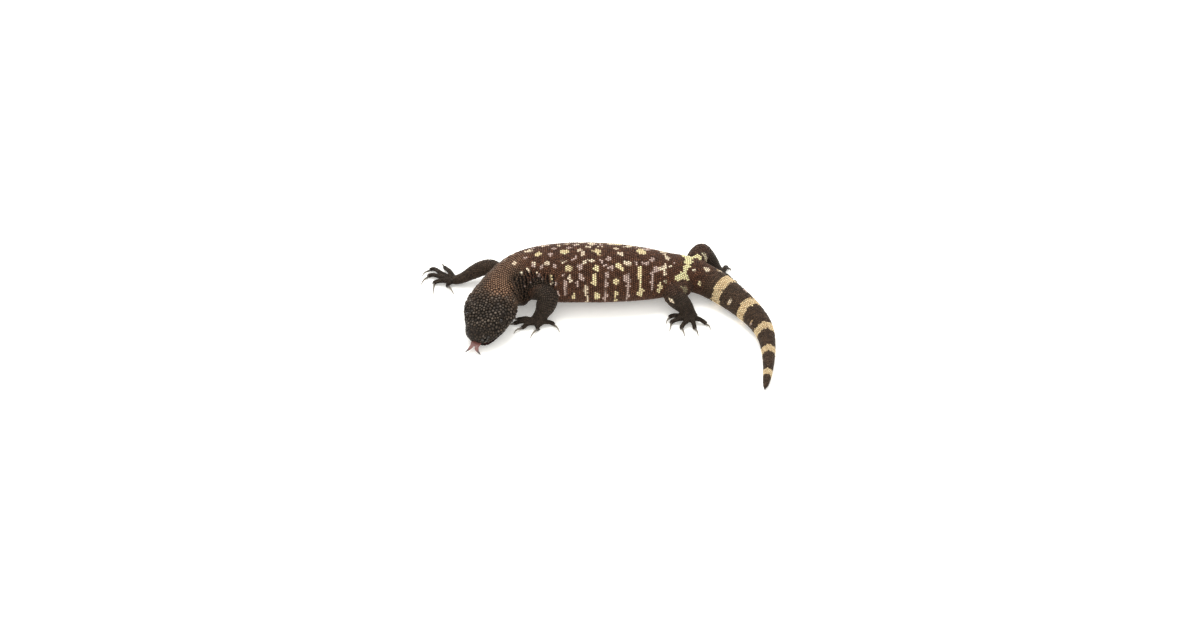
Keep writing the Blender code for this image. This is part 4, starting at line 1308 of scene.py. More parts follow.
def paint_pelvis(body, along, around, ragged, marks, sharp):
    place, start, end = np.array(PELVIS_BAND, float).T
    front, rear = np.interp(around, place, start), np.interp(around, place, end)
    edge = np.maximum(front - along, along - rear) + 1.5 * ragged
    edge = np.maximum(edge, np.maximum(around - place[-1], place[0] - around))
    return blend(body, marks.pelvis, inside(edge, sharp))


def paint_bands(body, along, side, ragged, marks, sharp):
    """The bands of the tail, which lean back at the sides."""
    for middle, half, lean in TAIL_BANDS:
        edge = np.abs(along - middle - lean * np.sin(side)) - half + 1.8 * ragged
        body = blend(body, marks.band, inside(edge, sharp))
    return body


def paint_limbs(colours, region, along, turn, ragged, marks, sharp):
    for name, spots in LIMB_SPOTS.items():
        here = region == REGIONS.index(name)
        radius = SWEEPS[name].girth(along)[:, 0]
        for spot_along, spot_turn, half_long, half_round, colour in spots:
            away = turn - math.radians(spot_turn)
            around = np.arctan2(np.sin(away), np.cos(away)) * radius
            edge = oval(along - spot_along, around, half_long, half_round) + ragged
            colours = blend(colours, getattr(marks, colour), inside(edge, sharp) * here)
    return colours


def in_mouth(points):
    """1 for places between the jaws, behind the lips, and 0 elsewhere."""
    tip, away, left, up = head_frame()
    offset = points - tip
    back, aside, high = offset @ away, offset @ left, offset @ up
    half_width = BODY.girth(np.clip(back, 0, 60))[:, 0]
    top = mouth_height(back) + 0.5
    bottom = mouth_height(back) - math.tan(JAW_OPEN) * (MOUTH_CORNER - back) - 0.5
    deep = (np.abs(aside) < half_width - 1.6) & (back > 1.6) & (back < MOUTH_CORNER - 3)
    return (deep & (high < top) & (high > bottom)).astype(float)


def paint_skin(obj):
    """Colours the skin as its beads, darker by a painted shade since it shows only in grooves and folds."""
    settings = bpy.context.scene.lizard_skin
    colours = coat_colours(SKIN.region, SKIN.along, SKIN.turn, SKIN.points, False)
    # Painted shade: darker between the beads, and darker still in the folds
    colours = colours * (settings.painted_groove_shade * (1 - 0.5 * SKIN.fold))[:, None]
    colours = blend(colours, settings.mouth, in_mouth(SKIN.points))
    paint(obj, colours, np.zeros(len(colours)))


# Beads


def bead_spacing(region, along, turn, places):
    """Distance from one bead to the next at each place, in mm."""
    beads = bpy.context.scene.lizard_beads
    side = from_top(turn)
    crown, snout, trunk, belly = (to_mm(v) for v in (beads.crown, beads.snout, beads.trunk, beads.belly))
    body = snout + (crown - snout) * ramp(along, 8, 22)
    body = body * (1 + 0.3 * ripple(places * 0.45) * (1 - ramp(along, 50, 66)))
    body = body + (trunk * 1.08 - body) * ramp(along, 52, 74)
    body = body + (trunk - body) * ramp(along, 100, 140)
    body = body + (belly - body) * ramp(side, math.radians(118), math.radians(135)) * ramp(along, 80, 120)
    body = body + (to_mm(beads.tail_tip) - body) * ramp(along, 380, 545)
    for eye_side in (1, -1):
        away = np.linalg.norm(places - on_head(EYE_ALONG, EYE_TURN, eye_side)[0], axis=1)
        body = np.where(away < 8, body + (to_mm(beads.lid) - body) * (1 - ramp(away, 3.6, 7.5)), body)
    spacing = np.where(region == 0, body, to_mm(beads.digit))
    for name in LIMBS:
        sweep = SWEEPS[name]
        share = ramp(along, sweep.stops[3], sweep.stops[5])
        limb = to_mm(beads.limb) + (to_mm(beads.digit) * 1.15 - to_mm(beads.limb)) * share
        spacing = np.where(region == REGIONS.index(name), limb, spacing)
    return spacing


def bare_places(places):
    """True where no bead grows: on the eyeballs, in the nostrils, ears and mouth."""
    bare = in_mouth(places) > 0
    for side in (1, -1):
        x, y, h, *_ = seen_from(places, EYE_ALONG, EYE_TURN, side)
        open_to = lid_opening(np.arctan2(y, x)) + BARE_LID_EDGE
        bare |= (np.hypot(x, y) < open_to) & (np.abs(h) < NEAR_HEAD)
        for along, turn, _, _, _, half_long, half_across in PITS:
            x, y, h, *_ = seen_from(places, along, turn, side)
            ratio = np.hypot(x / half_long, y / half_across)
            bare |= (ratio < 1) & (np.abs(h) < NEAR_HEAD)
    return bare


def ringed_places(name, start, end):
    """Places in rings across a part, each ring set half a step on from the last."""
    sweep = SWEEPS[name]
    index = REGIONS.index(name)
    places = []
    along, number = start, 0
    grid = np.linspace(0, 2 * math.pi, 73)
    while along < end:
        ring, _ = sweep.surface(np.full(len(grid), along), grid)
        steps = np.linalg.norm(np.diff(ring, axis=0), axis=1)
        spacing = bead_spacing(np.full(73, index), np.full(73, along), grid, ring)
        density = steps / (0.5 * (spacing[1:] + spacing[:-1]))
        total = np.concatenate([[0], np.cumsum(density)])
        count = max(4, round(total[-1]))
        wanted = (np.arange(count) + 0.5 * (number % 2)) / count * total[-1]
        turn = np.interp(wanted, total, grid)
        places.append(sweep.surface(np.full(count, along), turn)[0])
        along += RING_SHARE * float(np.median(spacing))
        number += 1
    return np.concatenate(places)


def lip_places():
    """The scales along both lips: centres in mm, which stay where they are."""
    places = []
    turn = np.array(jaw_turn())
    angles = np.radians(np.linspace(40, 170, 261))
    for side in (1, -1):
        for upper in (True, False):
            along = 2.2
            while along < MOUTH_CORNER + 1:
                _, upward, _ = BODY.section(np.full(len(angles), along), angles)
                wanted = mouth_height(along) + (1.75 if upper else -1.75)
                best = angles[np.argmin(np.abs(upward - wanted))]
                spot = BODY.surface(np.array([along]), np.array([side * best]))[0][0]
                if not upper:
                    spot = turn[:3, :3] @ spot + turn[:3, 3]
                places.append(spot)
                along += 2.2 + 1.5 * float(ramp(along, 0, 12))
    return np.array(places)


def filled_in(places, spacing_of, rng):
    """Adds places where the skin would be bare."""
    a, b, c = (SKIN.points[SKIN.triangles[:, k]] for k in range(3))
    area = np.linalg.norm(np.cross(b - a, c - a), axis=1)
    for share in FILLING_SHARES:
        pick = rng.choice(len(area), FILLING_TRIES, p=area / area.sum())
        u, v = rng.random((2, len(pick)))
        flip = u + v > 1
        u, v = np.where(flip, 1 - u, u), np.where(flip, 1 - v, v)
        new = a[pick] + u[:, None] * (b - a)[pick] + v[:, None] * (c - a)[pick]
        vert = SKIN.triangles[pick, 0]
        keep = ~bare_places(new)
        new, vert = new[keep], vert[keep]
        spacing = spacing_of(new, vert)
        tree = tree_of(places)
        gap = np.array([tree.find(p)[2] for p in new])
        keep = gap > share * spacing
        new, spacing = new[keep], spacing[keep]
        taken = thinned(new, spacing * share)
        places = np.concatenate([places, new[taken]])
    return places


def tree_of(places):
    tree = KDTree(len(places))
    for i, p in enumerate(places):
        tree.insert(p, i)
    tree.balance()
    return tree


def thinned(places, spacing):
    """Numbers of the places that stay when none may lie nearer than its spacing to one kept before it."""
    if not len(places):
        return np.zeros(0, int)
    tree = tree_of(places)
    kept = np.zeros(len(places), bool)
    barred = np.zeros(len(places), bool)
    for i, p in enumerate(places):
        if barred[i]:
            continue
        kept[i] = True
        for _, j, _ in tree.find_range(p, spacing[i]):
            if j != i:
                barred[j] = True
    return np.flatnonzero(kept)


def neighbours(places, count):
    """The numbers of each place's nearest neighbours and their distances."""
    tree = tree_of(places)
    numbers = np.zeros((len(places), count), int)
    gaps = np.zeros((len(places), count))
    for i, p in enumerate(places):
        found = tree.find_n(p, count + 1)
        near = [(j, d) for _, j, d in found if j != i][:count]
        numbers[i] = [j for j, _ in near]
        gaps[i] = [d for _, d in near]
    return numbers, gaps


# All beads: centre, way out and along, footprint, height, part, distance, turn and colours
BEADS = SimpleNamespace()


def settle_beads():
    """Places beads all over the skin: ring after ring, filled in at the joins, then evened out."""
    rng = np.random.default_rng(SEED)
    lips = lip_places()
    rings = [ringed_places("body", 3, BODY.length - 1.5)]
    for name in LIMBS:
        rings.append(ringed_places(name, 4, SWEEPS[name].length - 3))
        for n in range(1, 6):
            digit = SWEEPS[f"{name}_{n}"]
            rings.append(ringed_places(f"{name}_{n}", 4, digit.length - 0.8))
    loose = np.concatenate(rings)
    stray = np.where(np.linalg.norm(loose - head_point(30, 0, 0), axis=1) < 42, 0.9, 0.2)
    loose = loose + rng.normal(0, 1, loose.shape) * stray[:, None]
    spots, _, _ = nearest_on_skin(loose)
    loose = spots[np.linalg.norm(spots - loose, axis=1) < 1.6]

    def spacing_of(places, vert):
        return bead_spacing(SKIN.region[vert], SKIN.along[vert], SKIN.turn[vert], places)

    places = np.concatenate([nearest_on_skin(lips)[0], loose])
    _, _, vert = nearest_on_skin(places)
    spacing = spacing_of(places, vert)
    keep = ~bare_places(places)
    keep[: len(lips)] = True
    places, spacing = places[keep], spacing[keep]
    kept = thinned(places, spacing * FIRST_THINNING)
    places = places[kept]
    pinned = int((kept < len(lips)).sum())
    places = filled_in(places, spacing_of, rng)
    places = evened(places, spacing_of, pinned)
    measure_beads(places, spacing_of, pinned, rng)


def evened(places, spacing_of, pinned):
    """Moves neighbours apart until they lie evenly, and keeps them on the skin."""
    for _ in range(EVENING_ROUNDS):
        spots, normals, vert = nearest_on_skin(places)
        spacing = spacing_of(spots, vert)
        numbers, gaps = neighbours(spots, 7)
        wanted = 0.5 * (spacing[:, None] + spacing[numbers]) * 1.04
        alike = (normals[:, None] * normals[numbers]).sum(axis=2) > 0.2
        push = np.maximum(wanted - gaps, 0) * alike * 0.32
        apart = unit(spots[:, None] - spots[numbers])
        move = (apart * push[:, :, None]).sum(axis=1)
        move -= (move * normals).sum(axis=1, keepdims=True) * normals
        move[:pinned] = 0
        places = spots + move
    spots, _, vert = nearest_on_skin(places)
    spacing = spacing_of(spots, vert)
    return spots[thinned(spots, spacing * LAST_THINNING)]


def measure_beads(places, spacing_of, pinned, rng):
    """Works out each bead's direction, footprint, height and tags."""
    spots, normals, vert = nearest_on_skin(places)
    keep = ~bare_places(spots)
    keep[:pinned] = True
    spots, normals, vert = spots[keep], normals[keep], vert[keep]
    spacing = spacing_of(spots, vert)
    region, along, turn = SKIN.region[vert], SKIN.along[vert], SKIN.turn[vert]
    lengthwise = np.zeros_like(spots)
    for index, name in enumerate(REGIONS):
        here = region == index
        if here.any():
            lengthwise[here] = SWEEPS[name].frame(along[here])[1]
    lengthwise = unit(lengthwise - (lengthwise * normals).sum(axis=1, keepdims=True) * normals)
    sideways = np.cross(normals, lengthwise)
    sides = bpy.context.scene.lizard_beads.sides
    numbers, gaps = neighbours(spots, 8)
    alike = (normals[:, None] * normals[numbers]).sum(axis=2) > 0.1
    offset = spots[numbers] - spots[:, None]
    x = (offset * lengthwise[:, None]).sum(axis=2)
    y = (offset * sideways[:, None]).sum(axis=2)
    bearing, flat = np.arctan2(y, x), np.hypot(x, y)
    mean = 0.5 * np.where(alike, gaps, spacing[:, None])[:, :5].mean(axis=1)
    mean = np.clip(mean, 0.36 * spacing, 0.62 * spacing)
    phase = rng.random(len(spots)) * 2 * math.pi / sides
    angles = phase[:, None] + np.arange(sides)[None] * 2 * math.pi / sides
    facing = np.cos(angles[:, :, None] - bearing[:, None, :])
    border = 0.5 * flat[:, None, :] / np.maximum(facing, 0.05)
    border = np.where(alike[:, None, :] & (facing > 0.05), border, 9.0).min(axis=2)
    border = np.minimum(border, 1.22 * mean[:, None])
    BEADS.foot = 0.5 * (border + np.minimum(mean[:, None], border)) * 0.955
    BEADS.angles = angles
    BEADS.spots, BEADS.normals = spots, normals
    BEADS.lengthwise, BEADS.sideways = lengthwise, sideways
    BEADS.mean = mean
    BEADS.region, BEADS.along, BEADS.turn = region, along, turn
    BEADS.lip = np.arange(len(spots)) < pinned
    BEADS.height = bead_heights(rng)
    BEADS.colours, BEADS.tips = bead_colours(rng)


def bead_heights(rng):
    """How far each bead stands up, in mm: high on the back and the crown, flat on belly, lips and lids."""
    full = to_mm(bpy.context.scene.lizard_beads.height)
    side = from_top(BEADS.turn)
    along = BEADS.along
    crown = 1 + 0.3 * ramp(along, 14, 26) * (1 - ramp(along, 54, 66))
    body = full * (0.4 + 0.6 * ramp(along, 5, 18)) * crown
    flat_belly = ramp(side, math.radians(112), math.radians(138)) * ramp(along, 10, 30)
    body = body * (1 - 0.68 * flat_belly)
    body = body * (1 - 0.5 * ramp(along, 400, 540))
    height = np.where(BEADS.region == 0, body, 0.8 * full)
    height = np.minimum(height, 0.78 * BEADS.mean)
    height = np.where(BEADS.lip, 0.42 * full, height)
    on_head = (BEADS.region == 0) * (1 - ramp(along, 60, 76))
    return height * (1 + (0.14 + 0.16 * on_head) * rng.standard_normal(len(height)).clip(-2, 2))


def bead_colours(rng):
    """One colour for each bead, a little off its neighbours' colours, and the colour of its tip, a painted
    highlight.
    """
    skin = bpy.context.scene.lizard_skin
    marks = bpy.context.scene.lizard_marking
    colours = coat_colours(BEADS.region, BEADS.along, BEADS.turn, BEADS.spots, True)
    bright = colours.mean(axis=1)
    count = len(bright)
    in_band = (BEADS.region == 0) & (BEADS.along > 360) & (bright > 0.2)
    side = from_top(BEADS.turn)
    browner = in_band * (rng.random(count) < 0.1 + 0.25 * bell(side - 0.3, 0.5))
    colours = blend(colours, marks.tan, browner * (0.35 + 0.65 * rng.random(count)))
    on_head = (BEADS.region == 0) * (1 - ramp(BEADS.along, 56, 72))
    vary = np.where(bright > 0.15, 0.08, 0.26)
    vary = np.where(on_head > 0.5, 0.38, vary)
    factor = np.exp(vary * rng.standard_normal(count).clip(-2.2, 2.2))
    colours = colours * factor[:, None]
    # Painted glints on the tops of some of the crown's scales
    painted_glint = on_head * (0.06 + 0.94 * rng.random(count) ** 4) * (1 - ramp(side, 1.5, 2.1))
    painted_glint = painted_glint * ramp(BEADS.along, 8, 20)
    # Every bead's top is painted a little lighter, a painted highlight
    tips = blend(colours * 1.12, skin.painted_glint, painted_glint)
    around = np.where(BEADS.region == 0, round_from_back(BEADS.along, BEADS.turn), 99)
    on_nape = nape_and_sheen_share(BEADS.along, around, 0) * (BEADS.region == 0)
    tips = blend(tips, skin.nape_tan_and_sheen, on_nape * (0.25 + 0.75 * rng.random(count)))
    return np.clip(colours, 0, 0.9), np.clip(tips, 0, 0.9)


# Levels of a bead: share of its footprint, and share of its height, or mm below the skin
DOME = ((1.0, -0.55), (0.98, 0.16), (0.84, 0.64), (0.52, 0.92))
PLATE = ((1.0, -0.55), (0.96, 0.35), (0.70, 0.90))


def bead_group(name, chosen, profile, material, unwrap):
    """One joined mesh of the chosen beads, each a closed dome with its root sunk in the skin."""
    picked = np.flatnonzero(chosen)
    count = len(picked)
    sides = BEADS.angles.shape[1]
    spots, normals = BEADS.spots[picked], BEADS.normals[picked]
    foot, height = BEADS.foot[picked], BEADS.height[picked]
    cos, sin = np.cos(BEADS.angles[picked]), np.sin(BEADS.angles[picked])
    lengthwise, sideways = BEADS.lengthwise[picked][:, None], BEADS.sideways[picked][:, None]
    outward = cos[:, :, None] * lengthwise + sin[:, :, None] * sideways
    layers, rises = [], []
    for reach, level in profile:
        rise = height[:, None] * level if level > 0 else np.full((count, 1), level)
        spread = (foot * reach)[:, :, None] * outward
        layers.append(spots[:, None] + spread + rise[:, :, None] * normals[:, None])
        rises.append(np.full((count, sides), max(level, 0.0)))
    top = spots + height[:, None] * normals
    per_bead = len(profile) * sides + 1
    points = np.concatenate([*layers, top[:, None]], axis=1).reshape(-1, 3)
    points[:, 2] = np.maximum(points[:, 2], FLOOR)
    rise = np.concatenate([*rises, np.ones((count, 1))], axis=1).ravel()
    corners, counts = bead_faces(len(profile), sides)
    all_corners = (corners[None] + np.arange(count)[:, None] * per_bead).ravel()
    obj = add_mesh(name, points, all_corners, np.tile(counts, count), material)
    # The top of each bead takes its tip's colour, a painted highlight
    share = np.clip((rise - 0.55) / 0.45, 0, 1)
    colours = np.repeat(BEADS.colours[picked], per_bead, axis=0)
    paint(obj, colours + (np.repeat(BEADS.tips[picked], per_bead, axis=0) - colours) * share[:, None], rise)
    rings = [np.stack([cos * reach, sin * reach], 2) for reach, _ in profile]
    flat = np.concatenate([*rings, np.zeros((count, 1, 2))], axis=1)
    uv = unwrap(picked)[:, None] + PATCH * flat
    layer = obj.data.uv_layers.new(name="OFBake")
    loops = np.empty(len(obj.data.loops), np.int32)
    obj.data.loops.foreach_get("vertex_index", loops)
    layer.data.foreach_set("uv", uv.reshape(-1, 2)[loops].astype(np.float32).ravel())
    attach(obj, "root")
    return obj


def bead_faces(layers, sides):
    """Corners and counts of one bead: its root, its flanks and its top."""
    k = np.arange(sides)
    after = (k + 1) % sides
    corners, counts = [k[::-1]], [sides]
    for layer in range(layers - 1):
        low, high = layer * sides, (layer + 1) * sides
        corners.append(np.stack([low + k, low + after, high + after, high + k], 1).ravel())
        counts += [4] * sides
    low = (layers - 1) * sides
    corners.append(np.stack([low + k, low + after, np.full(sides, layers * sides)], 1).ravel())
    counts += [3] * sides
    return np.concatenate(corners), np.array(counts)


def body_unwrap(start, end):
    """Lays a stretch of the body flat on the unit square, along it and round it."""

    def place(picked):
        u = (BEADS.along[picked] - start) / (end - start)
        v = np.mod(BEADS.turn[picked] / (2 * math.pi) + 0.5, 1)
        return np.clip(np.stack([u, v], 1) * 0.98 + 0.01, 0.005, 0.995)

    return place


def limb_unwrap(name):
    """Lays a limb flat on the left half of the unit square and its digits on the right half."""

    def place(picked):
        region, along = BEADS.region[picked], BEADS.along[picked]
        turn = np.mod(BEADS.turn[picked] / (2 * math.pi) + 0.5, 1)
        u = np.zeros(len(picked))
        v = turn.copy()
        for index, part in enumerate([name, *(f"{name}_{n}" for n in range(1, 6))]):
            here = region == REGIONS.index(part)
            share = along[here] / SWEEPS[part].length
            u[here] = share * 0.49 if index == 0 else 0.51 + share * 0.48
            if index:
                v[here] = (index - 1 + turn[here] * 0.96) / 5
        return np.clip(np.stack([u, v], 1) * 0.98 + 0.01, 0.005, 0.995)

    return place


# Materials


GRAIN_INPUTS = {
    "Colour": (0.5, 0.5, 0.5, 1),
    "Rise": 1.0,
    # share of colour left by painted shade at the root of a bead
    "Groove": 0.4,
    "Grain Scale": 900.0,
    "Variation": 0.25,
    "Roughness": 0.45,
}
FINE_DETAIL, FINE_ROUGHNESS = 4, 0.62
WIDE_SCALE, WIDE_DETAIL = 60, 3
ROUGHNESS_SPREAD = 0.3
COAT_ROUGHNESS = 0.12


def scale_grain():
    """Shader group of the fine grain that all skin, horn and tongue share: it varies a colour, darkens it
    towards the root of each bead with painted shade, and gives a roughness and a height."""
    found = bpy.data.node_groups.get("Scale Grain")
    if found:
        return found
    group = bpy.data.node_groups.new("Scale Grain", "ShaderNodeTree")
    for name, value in GRAIN_INPUTS.items():
        kind = "NodeSocketColor" if name == "Colour" else "NodeSocketFloat"
        socket = group.interface.new_socket(name=name, in_out="INPUT", socket_type=kind)
        socket.default_value = value
    for name in ("Colour", "Roughness", "Height"):
        kind = "NodeSocketColor" if name == "Colour" else "NodeSocketFloat"
        group.interface.new_socket(name=name, in_out="OUTPUT", socket_type=kind)
    nodes, links = group.nodes, group.links
    start = nodes.new("NodeGroupInput")
    end = nodes.new("NodeGroupOutput")
    where = nodes.new("ShaderNodeTexCoord")
    fine = nodes.new("ShaderNodeTexNoise")
    fine.inputs["Detail"].default_value = FINE_DETAIL
    fine.inputs["Roughness"].default_value = FINE_ROUGHNESS
    links.new(where.outputs["Object"], fine.inputs["Vector"])
    links.new(start.outputs["Grain Scale"], fine.inputs["Scale"])
    wide = nodes.new("ShaderNodeTexNoise")
    wide.inputs["Scale"].default_value = WIDE_SCALE
    wide.inputs["Detail"].default_value = WIDE_DETAIL
    links.new(where.outputs["Object"], wide.inputs["Vector"])
    sum_noise = maths(nodes, links, "ADD", fine.outputs["Fac"], wide.outputs["Fac"])
    centred = maths(nodes, links, "SUBTRACT", sum_noise, 1.0)
    varied = maths(nodes, links, "MULTIPLY", centred, start.outputs["Variation"])
    # Painted shade in the grooves: the lower a point sits on its bead, the darker, down to the Groove share
    deep = nodes.new("ShaderNodeMapRange")
    links.new(maths(nodes, links, "POWER", start.outputs["Rise"], 1.5), deep.inputs["Value"])
    links.new(start.outputs["Groove"], deep.inputs["To Min"])
    deep.inputs["To Max"].default_value = 1.0
    shade = maths(nodes, links, "MULTIPLY", maths(nodes, links, "ADD", varied, 1.0), deep.outputs["Result"])
    tinted = nodes.new("ShaderNodeVectorMath")
    tinted.operation = "SCALE"
    links.new(start.outputs["Colour"], tinted.inputs[0])
    links.new(shade, tinted.inputs["Scale"])
    links.new(tinted.outputs[0], end.inputs["Colour"])
    fine_noise, base = fine.outputs["Fac"], start.outputs["Roughness"]
    rough = maths(nodes, links, "MULTIPLY_ADD", fine_noise, ROUGHNESS_SPREAD, base)
    links.new(rough, end.inputs["Roughness"])
    links.new(fine.outputs["Fac"], end.inputs["Height"])
    return group


def maths(nodes, links, operation, first, second, third=None):
    """A Math node whose inputs are sockets or numbers."""
    node = nodes.new("ShaderNodeMath")
    node.operation = operation
    for socket, value in zip(node.inputs, (first, second, third)):
        if isinstance(value, bpy.types.NodeSocket):
            # Stores a colour and a height share on every point, for the materials to read; the height share
            # sets the painted shade.
            links.new(value, socket)
        elif value is not None:
            socket.default_value = value
    return node.outputs[0]


# Each finish: share of colour left at the beads' roots by the painted shade of the grooves, grain scale,
# colour variation, roughness, bump strength and distance, coat and specular level
FINISHES = {
    "groove_skin": (1.0, 2600, 0.5, 0.8, 0.6, 0.0004, 0.0, 0.15),
    "bead_scale": (0.22, 1500, 0.4, 0.38, 0.35, 0.0002, 0.0, 0.14),
    "nose_scale": (0.3, 1500, 0.3, 0.3, 0.1, 0.0001, 0.18, 0.35),
    "belly_scale": (0.35, 1100, 0.3, 0.46, 0.25, 0.0002, 0.0, 0.22),
    "claw_horn": (1.0, 700, 0.4, 0.34, 0.3, 0.0002, 0.2, 0.5),
    "tongue_flesh": (1.0, 1800, 0.3, 0.34, 0.4, 0.0002, 0.45, 0.5),
    "eye_gloss": (1.0, 2400, 0.3, 0.2, 0.0, 0.0001, 0.35, 0.2),
    "paper_floor": (1.0, 300, 0.02, 0.9, 0.05, 0.0001, 0.0, 0.1),
}


def grained_material(name):
    """A surface whose colour comes from the points, varied by the shared grain and darkened low on each
    bead by painted shade.
    """
    found = bpy.data.materials.get(name)
    if found:
        return found
    groove, grain, variation, roughness, bump, depth, coat, specular = FINISHES[name]
    material = bpy.data.materials.new(name)
    material.use_nodes = True
    nodes, links = material.node_tree.nodes, material.node_tree.links
    shader = nodes["Principled BSDF"]
    tint = nodes.new("ShaderNodeAttribute")
    tint.attribute_name = "tint"
    rise = nodes.new("ShaderNodeAttribute")
    rise.attribute_name = "rise"
    group = nodes.new("ShaderNodeGroup")
    group.node_tree = scale_grain()
    base = roughness - ROUGHNESS_SPREAD / 2
    inputs = {"Groove": groove, "Grain Scale": grain, "Variation": variation, "Roughness": base}
    for socket, value in inputs.items():
        group.inputs[socket].default_value = value
    links.new(tint.outputs["Color"], group.inputs["Colour"])
    links.new(rise.outputs["Fac"], group.inputs["Rise"])
    links.new(group.outputs["Colour"], shader.inputs["Base Color"])
    links.new(group.outputs["Roughness"], shader.inputs["Roughness"])
    relief = nodes.new("ShaderNodeBump")
    relief.inputs["Strength"].default_value = bump
    relief.inputs["Distance"].default_value = depth
    links.new(group.outputs["Height"], relief.inputs["Height"])
    links.new(relief.outputs["Normal"], shader.inputs["Normal"])
    shader.inputs["Coat Weight"].default_value = coat
    shader.inputs["Coat Roughness"].default_value = COAT_ROUGHNESS
    shader.inputs["Specular IOR Level"].default_value = specular
    return material


# Operators


class LIZARD_OT_skin(bpy.types.Operator):
    """Build the skin of the whole animal"""

    bl_idname = "lizard.skin"
    bl_label = "Skin"

    def execute(self, context):
        obj = build_skin(context.scene.lizard_skin)
        obj.data.materials.clear()
        obj.data.materials.append(grained_material("groove_skin"))
        paint_skin(obj)
        flesh = ["head", "lower_jaw", "neck", "torso_front", "torso_rear"]
        flesh += [f"tail_{n}" for n in range(1, 5)]
        for name in ("upper_arm", "forearm", "hand", "thigh", "shin", "foot"):
            flesh += [f"{name}_left", f"{name}_right"]
        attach(obj, "root")
        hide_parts(*flesh)
        settle_beads()
        return {"FINISHED"}


def trunk_like(low, high):
    """True for the beads of a stretch of head, neck, trunk or tail."""
    return (BEADS.region == 0) & (BEADS.along >= low) & (BEADS.along < high)


def under_body():
    """True for the flat scales of the belly."""
    side = from_top(BEADS.turn)
    return (side > math.radians(122)) & (BEADS.along > NECK_END) & (BEADS.along < VENT)


def near_nostrils():
    """True for the smooth, shiny scales round each nostril."""
    near = np.zeros(len(BEADS.spots), bool)
    for side in (1, -1):
        place = on_head(NOSTRIL_ALONG, NOSTRIL_TURN, side)[0]
        near |= np.linalg.norm(BEADS.spots - place, axis=1) < NOSE_SCALES_REACH
    return near & (BEADS.region == 0)


class LIZARD_OT_head_beads(bpy.types.Operator):
    """Cover the head and the neck with scales"""

    bl_idname = "lizard.head_beads"
    bl_label = "Head and Neck Scales"

    def execute(self, context):
        material = grained_material("bead_scale")
        shiny = grained_material("nose_scale")
        nose = near_nostrils()
        plain = trunk_like(-1, HEAD_END) & ~nose
        bead_group("head_scales", plain, DOME, material, body_unwrap(0, HEAD_END))
        bead_group("nose_scales", nose, DOME, shiny, body_unwrap(0, HEAD_END))
        chosen = trunk_like(HEAD_END, NECK_END)
        bead_group("neck_scales", chosen, DOME, material, body_unwrap(HEAD_END, NECK_END))
        return {"FINISHED"}


class LIZARD_OT_trunk_beads(bpy.types.Operator):
    """Cover the back and the flanks with beads, and the belly with flat scales"""

    bl_idname = "lizard.trunk_beads"
    bl_label = "Trunk Beads"

    def execute(self, context):
        material = grained_material("bead_scale")
        belly = under_body()
        for n, (low, high) in enumerate(zip(TORSO_PARTS, TORSO_PARTS[1:])):
            chosen = trunk_like(low, high) & ~belly
            bead_group(f"back_beads_{n + 1}", chosen, DOME, material, body_unwrap(low, high))
        material = grained_material("belly_scale")
        bead_group("belly_scales", belly, PLATE, material, body_unwrap(NECK_END, VENT))
        return {"FINISHED"}


class LIZARD_OT_tail_beads(bpy.types.Operator):
    """Cover the tail with beads"""

    bl_idname = "lizard.tail_beads"
    bl_label = "Tail Beads"

    def execute(self, context):
        material = grained_material("bead_scale")
        ends = (VENT, TAIL_MIDDLE, BODY.length + 1)
        for n, (low, high) in enumerate(zip(ends, ends[1:])):
            chosen = trunk_like(low, high)
            bead_group(f"tail_beads_{n + 1}", chosen, DOME, material, body_unwrap(low, high))
        return {"FINISHED"}


class LIZARD_OT_limb_beads(bpy.types.Operator):
    """Cover each limb and its digits with beads"""

    bl_idname = "lizard.limb_beads"
    bl_label = "Limb Beads"

    def execute(self, context):
        material = grained_material("bead_scale")
        for name in LIMBS:
            parts = [REGIONS.index(part) for part in REGIONS if part.startswith(name)]
            chosen = np.isin(BEADS.region, parts)
            bead_group(f"{name}_beads", chosen, PLATE, material, limb_unwrap(name))
        return {"FINISHED"}


class LIZARD_OT_eyes(bpy.types.Operator):
    """Set the two eyes in their lids"""

    bl_idname = "lizard.eyes"
    bl_label = "Eyes"

    def execute(self, context):
        colours = context.scene.lizard_part
        for name, side in (("eye_left", 1), ("eye_right", -1)):
            place, out, _, _ = on_head(EYE_ALONG, EYE_TURN, side)
            centre = place - (EYE_RADIUS - EYE_PROUD) * out
            look = unit(out + np.array([0, 0, -0.12]))
            rings, around = 40, 48
            polar = np.linspace(0.0, math.pi, rings + 2)[1:-1]
            turn = np.arange(around) / around * 2 * math.pi
            p, t = np.repeat(polar, around), np.tile(turn, rings)
            first = unit(np.cross(look, np.array([0.0, 0.0, 1.0])))
            second = np.cross(look, first)
            bulge = 1 + 0.045 * (1 - ramp(p, 0.35, 0.62))
            reach = EYE_RADIUS * bulge
            points = centre + (reach * np.cos(p))[:, None] * look
            round_look = np.cos(t)[:, None] * first + np.sin(t)[:, None] * second
            points += (reach * np.sin(p))[:, None] * round_look
            corners, counts = ring_faces(rings, around)
            obj = add_mesh(f"{name}_ball", points, corners, counts, grained_material("eye_gloss"))
            turn_outwards(obj)
            shade = plain(colours.iris, points)
            streak = 1 + 0.35 * np.sin(t * 17) * np.sin(t * 5 + 1)
            shade = shade * streak[:, None]
            shade = blend(shade, colours.pupil, 1 - ramp(p, 0.20, 0.25))
            shade = blend(shade, colours.pupil, ramp(p, 0.60, 0.72))
            paint(obj, shade, np.ones(len(points)))
            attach(obj, "root")
            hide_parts(name)
        return {"FINISHED"}


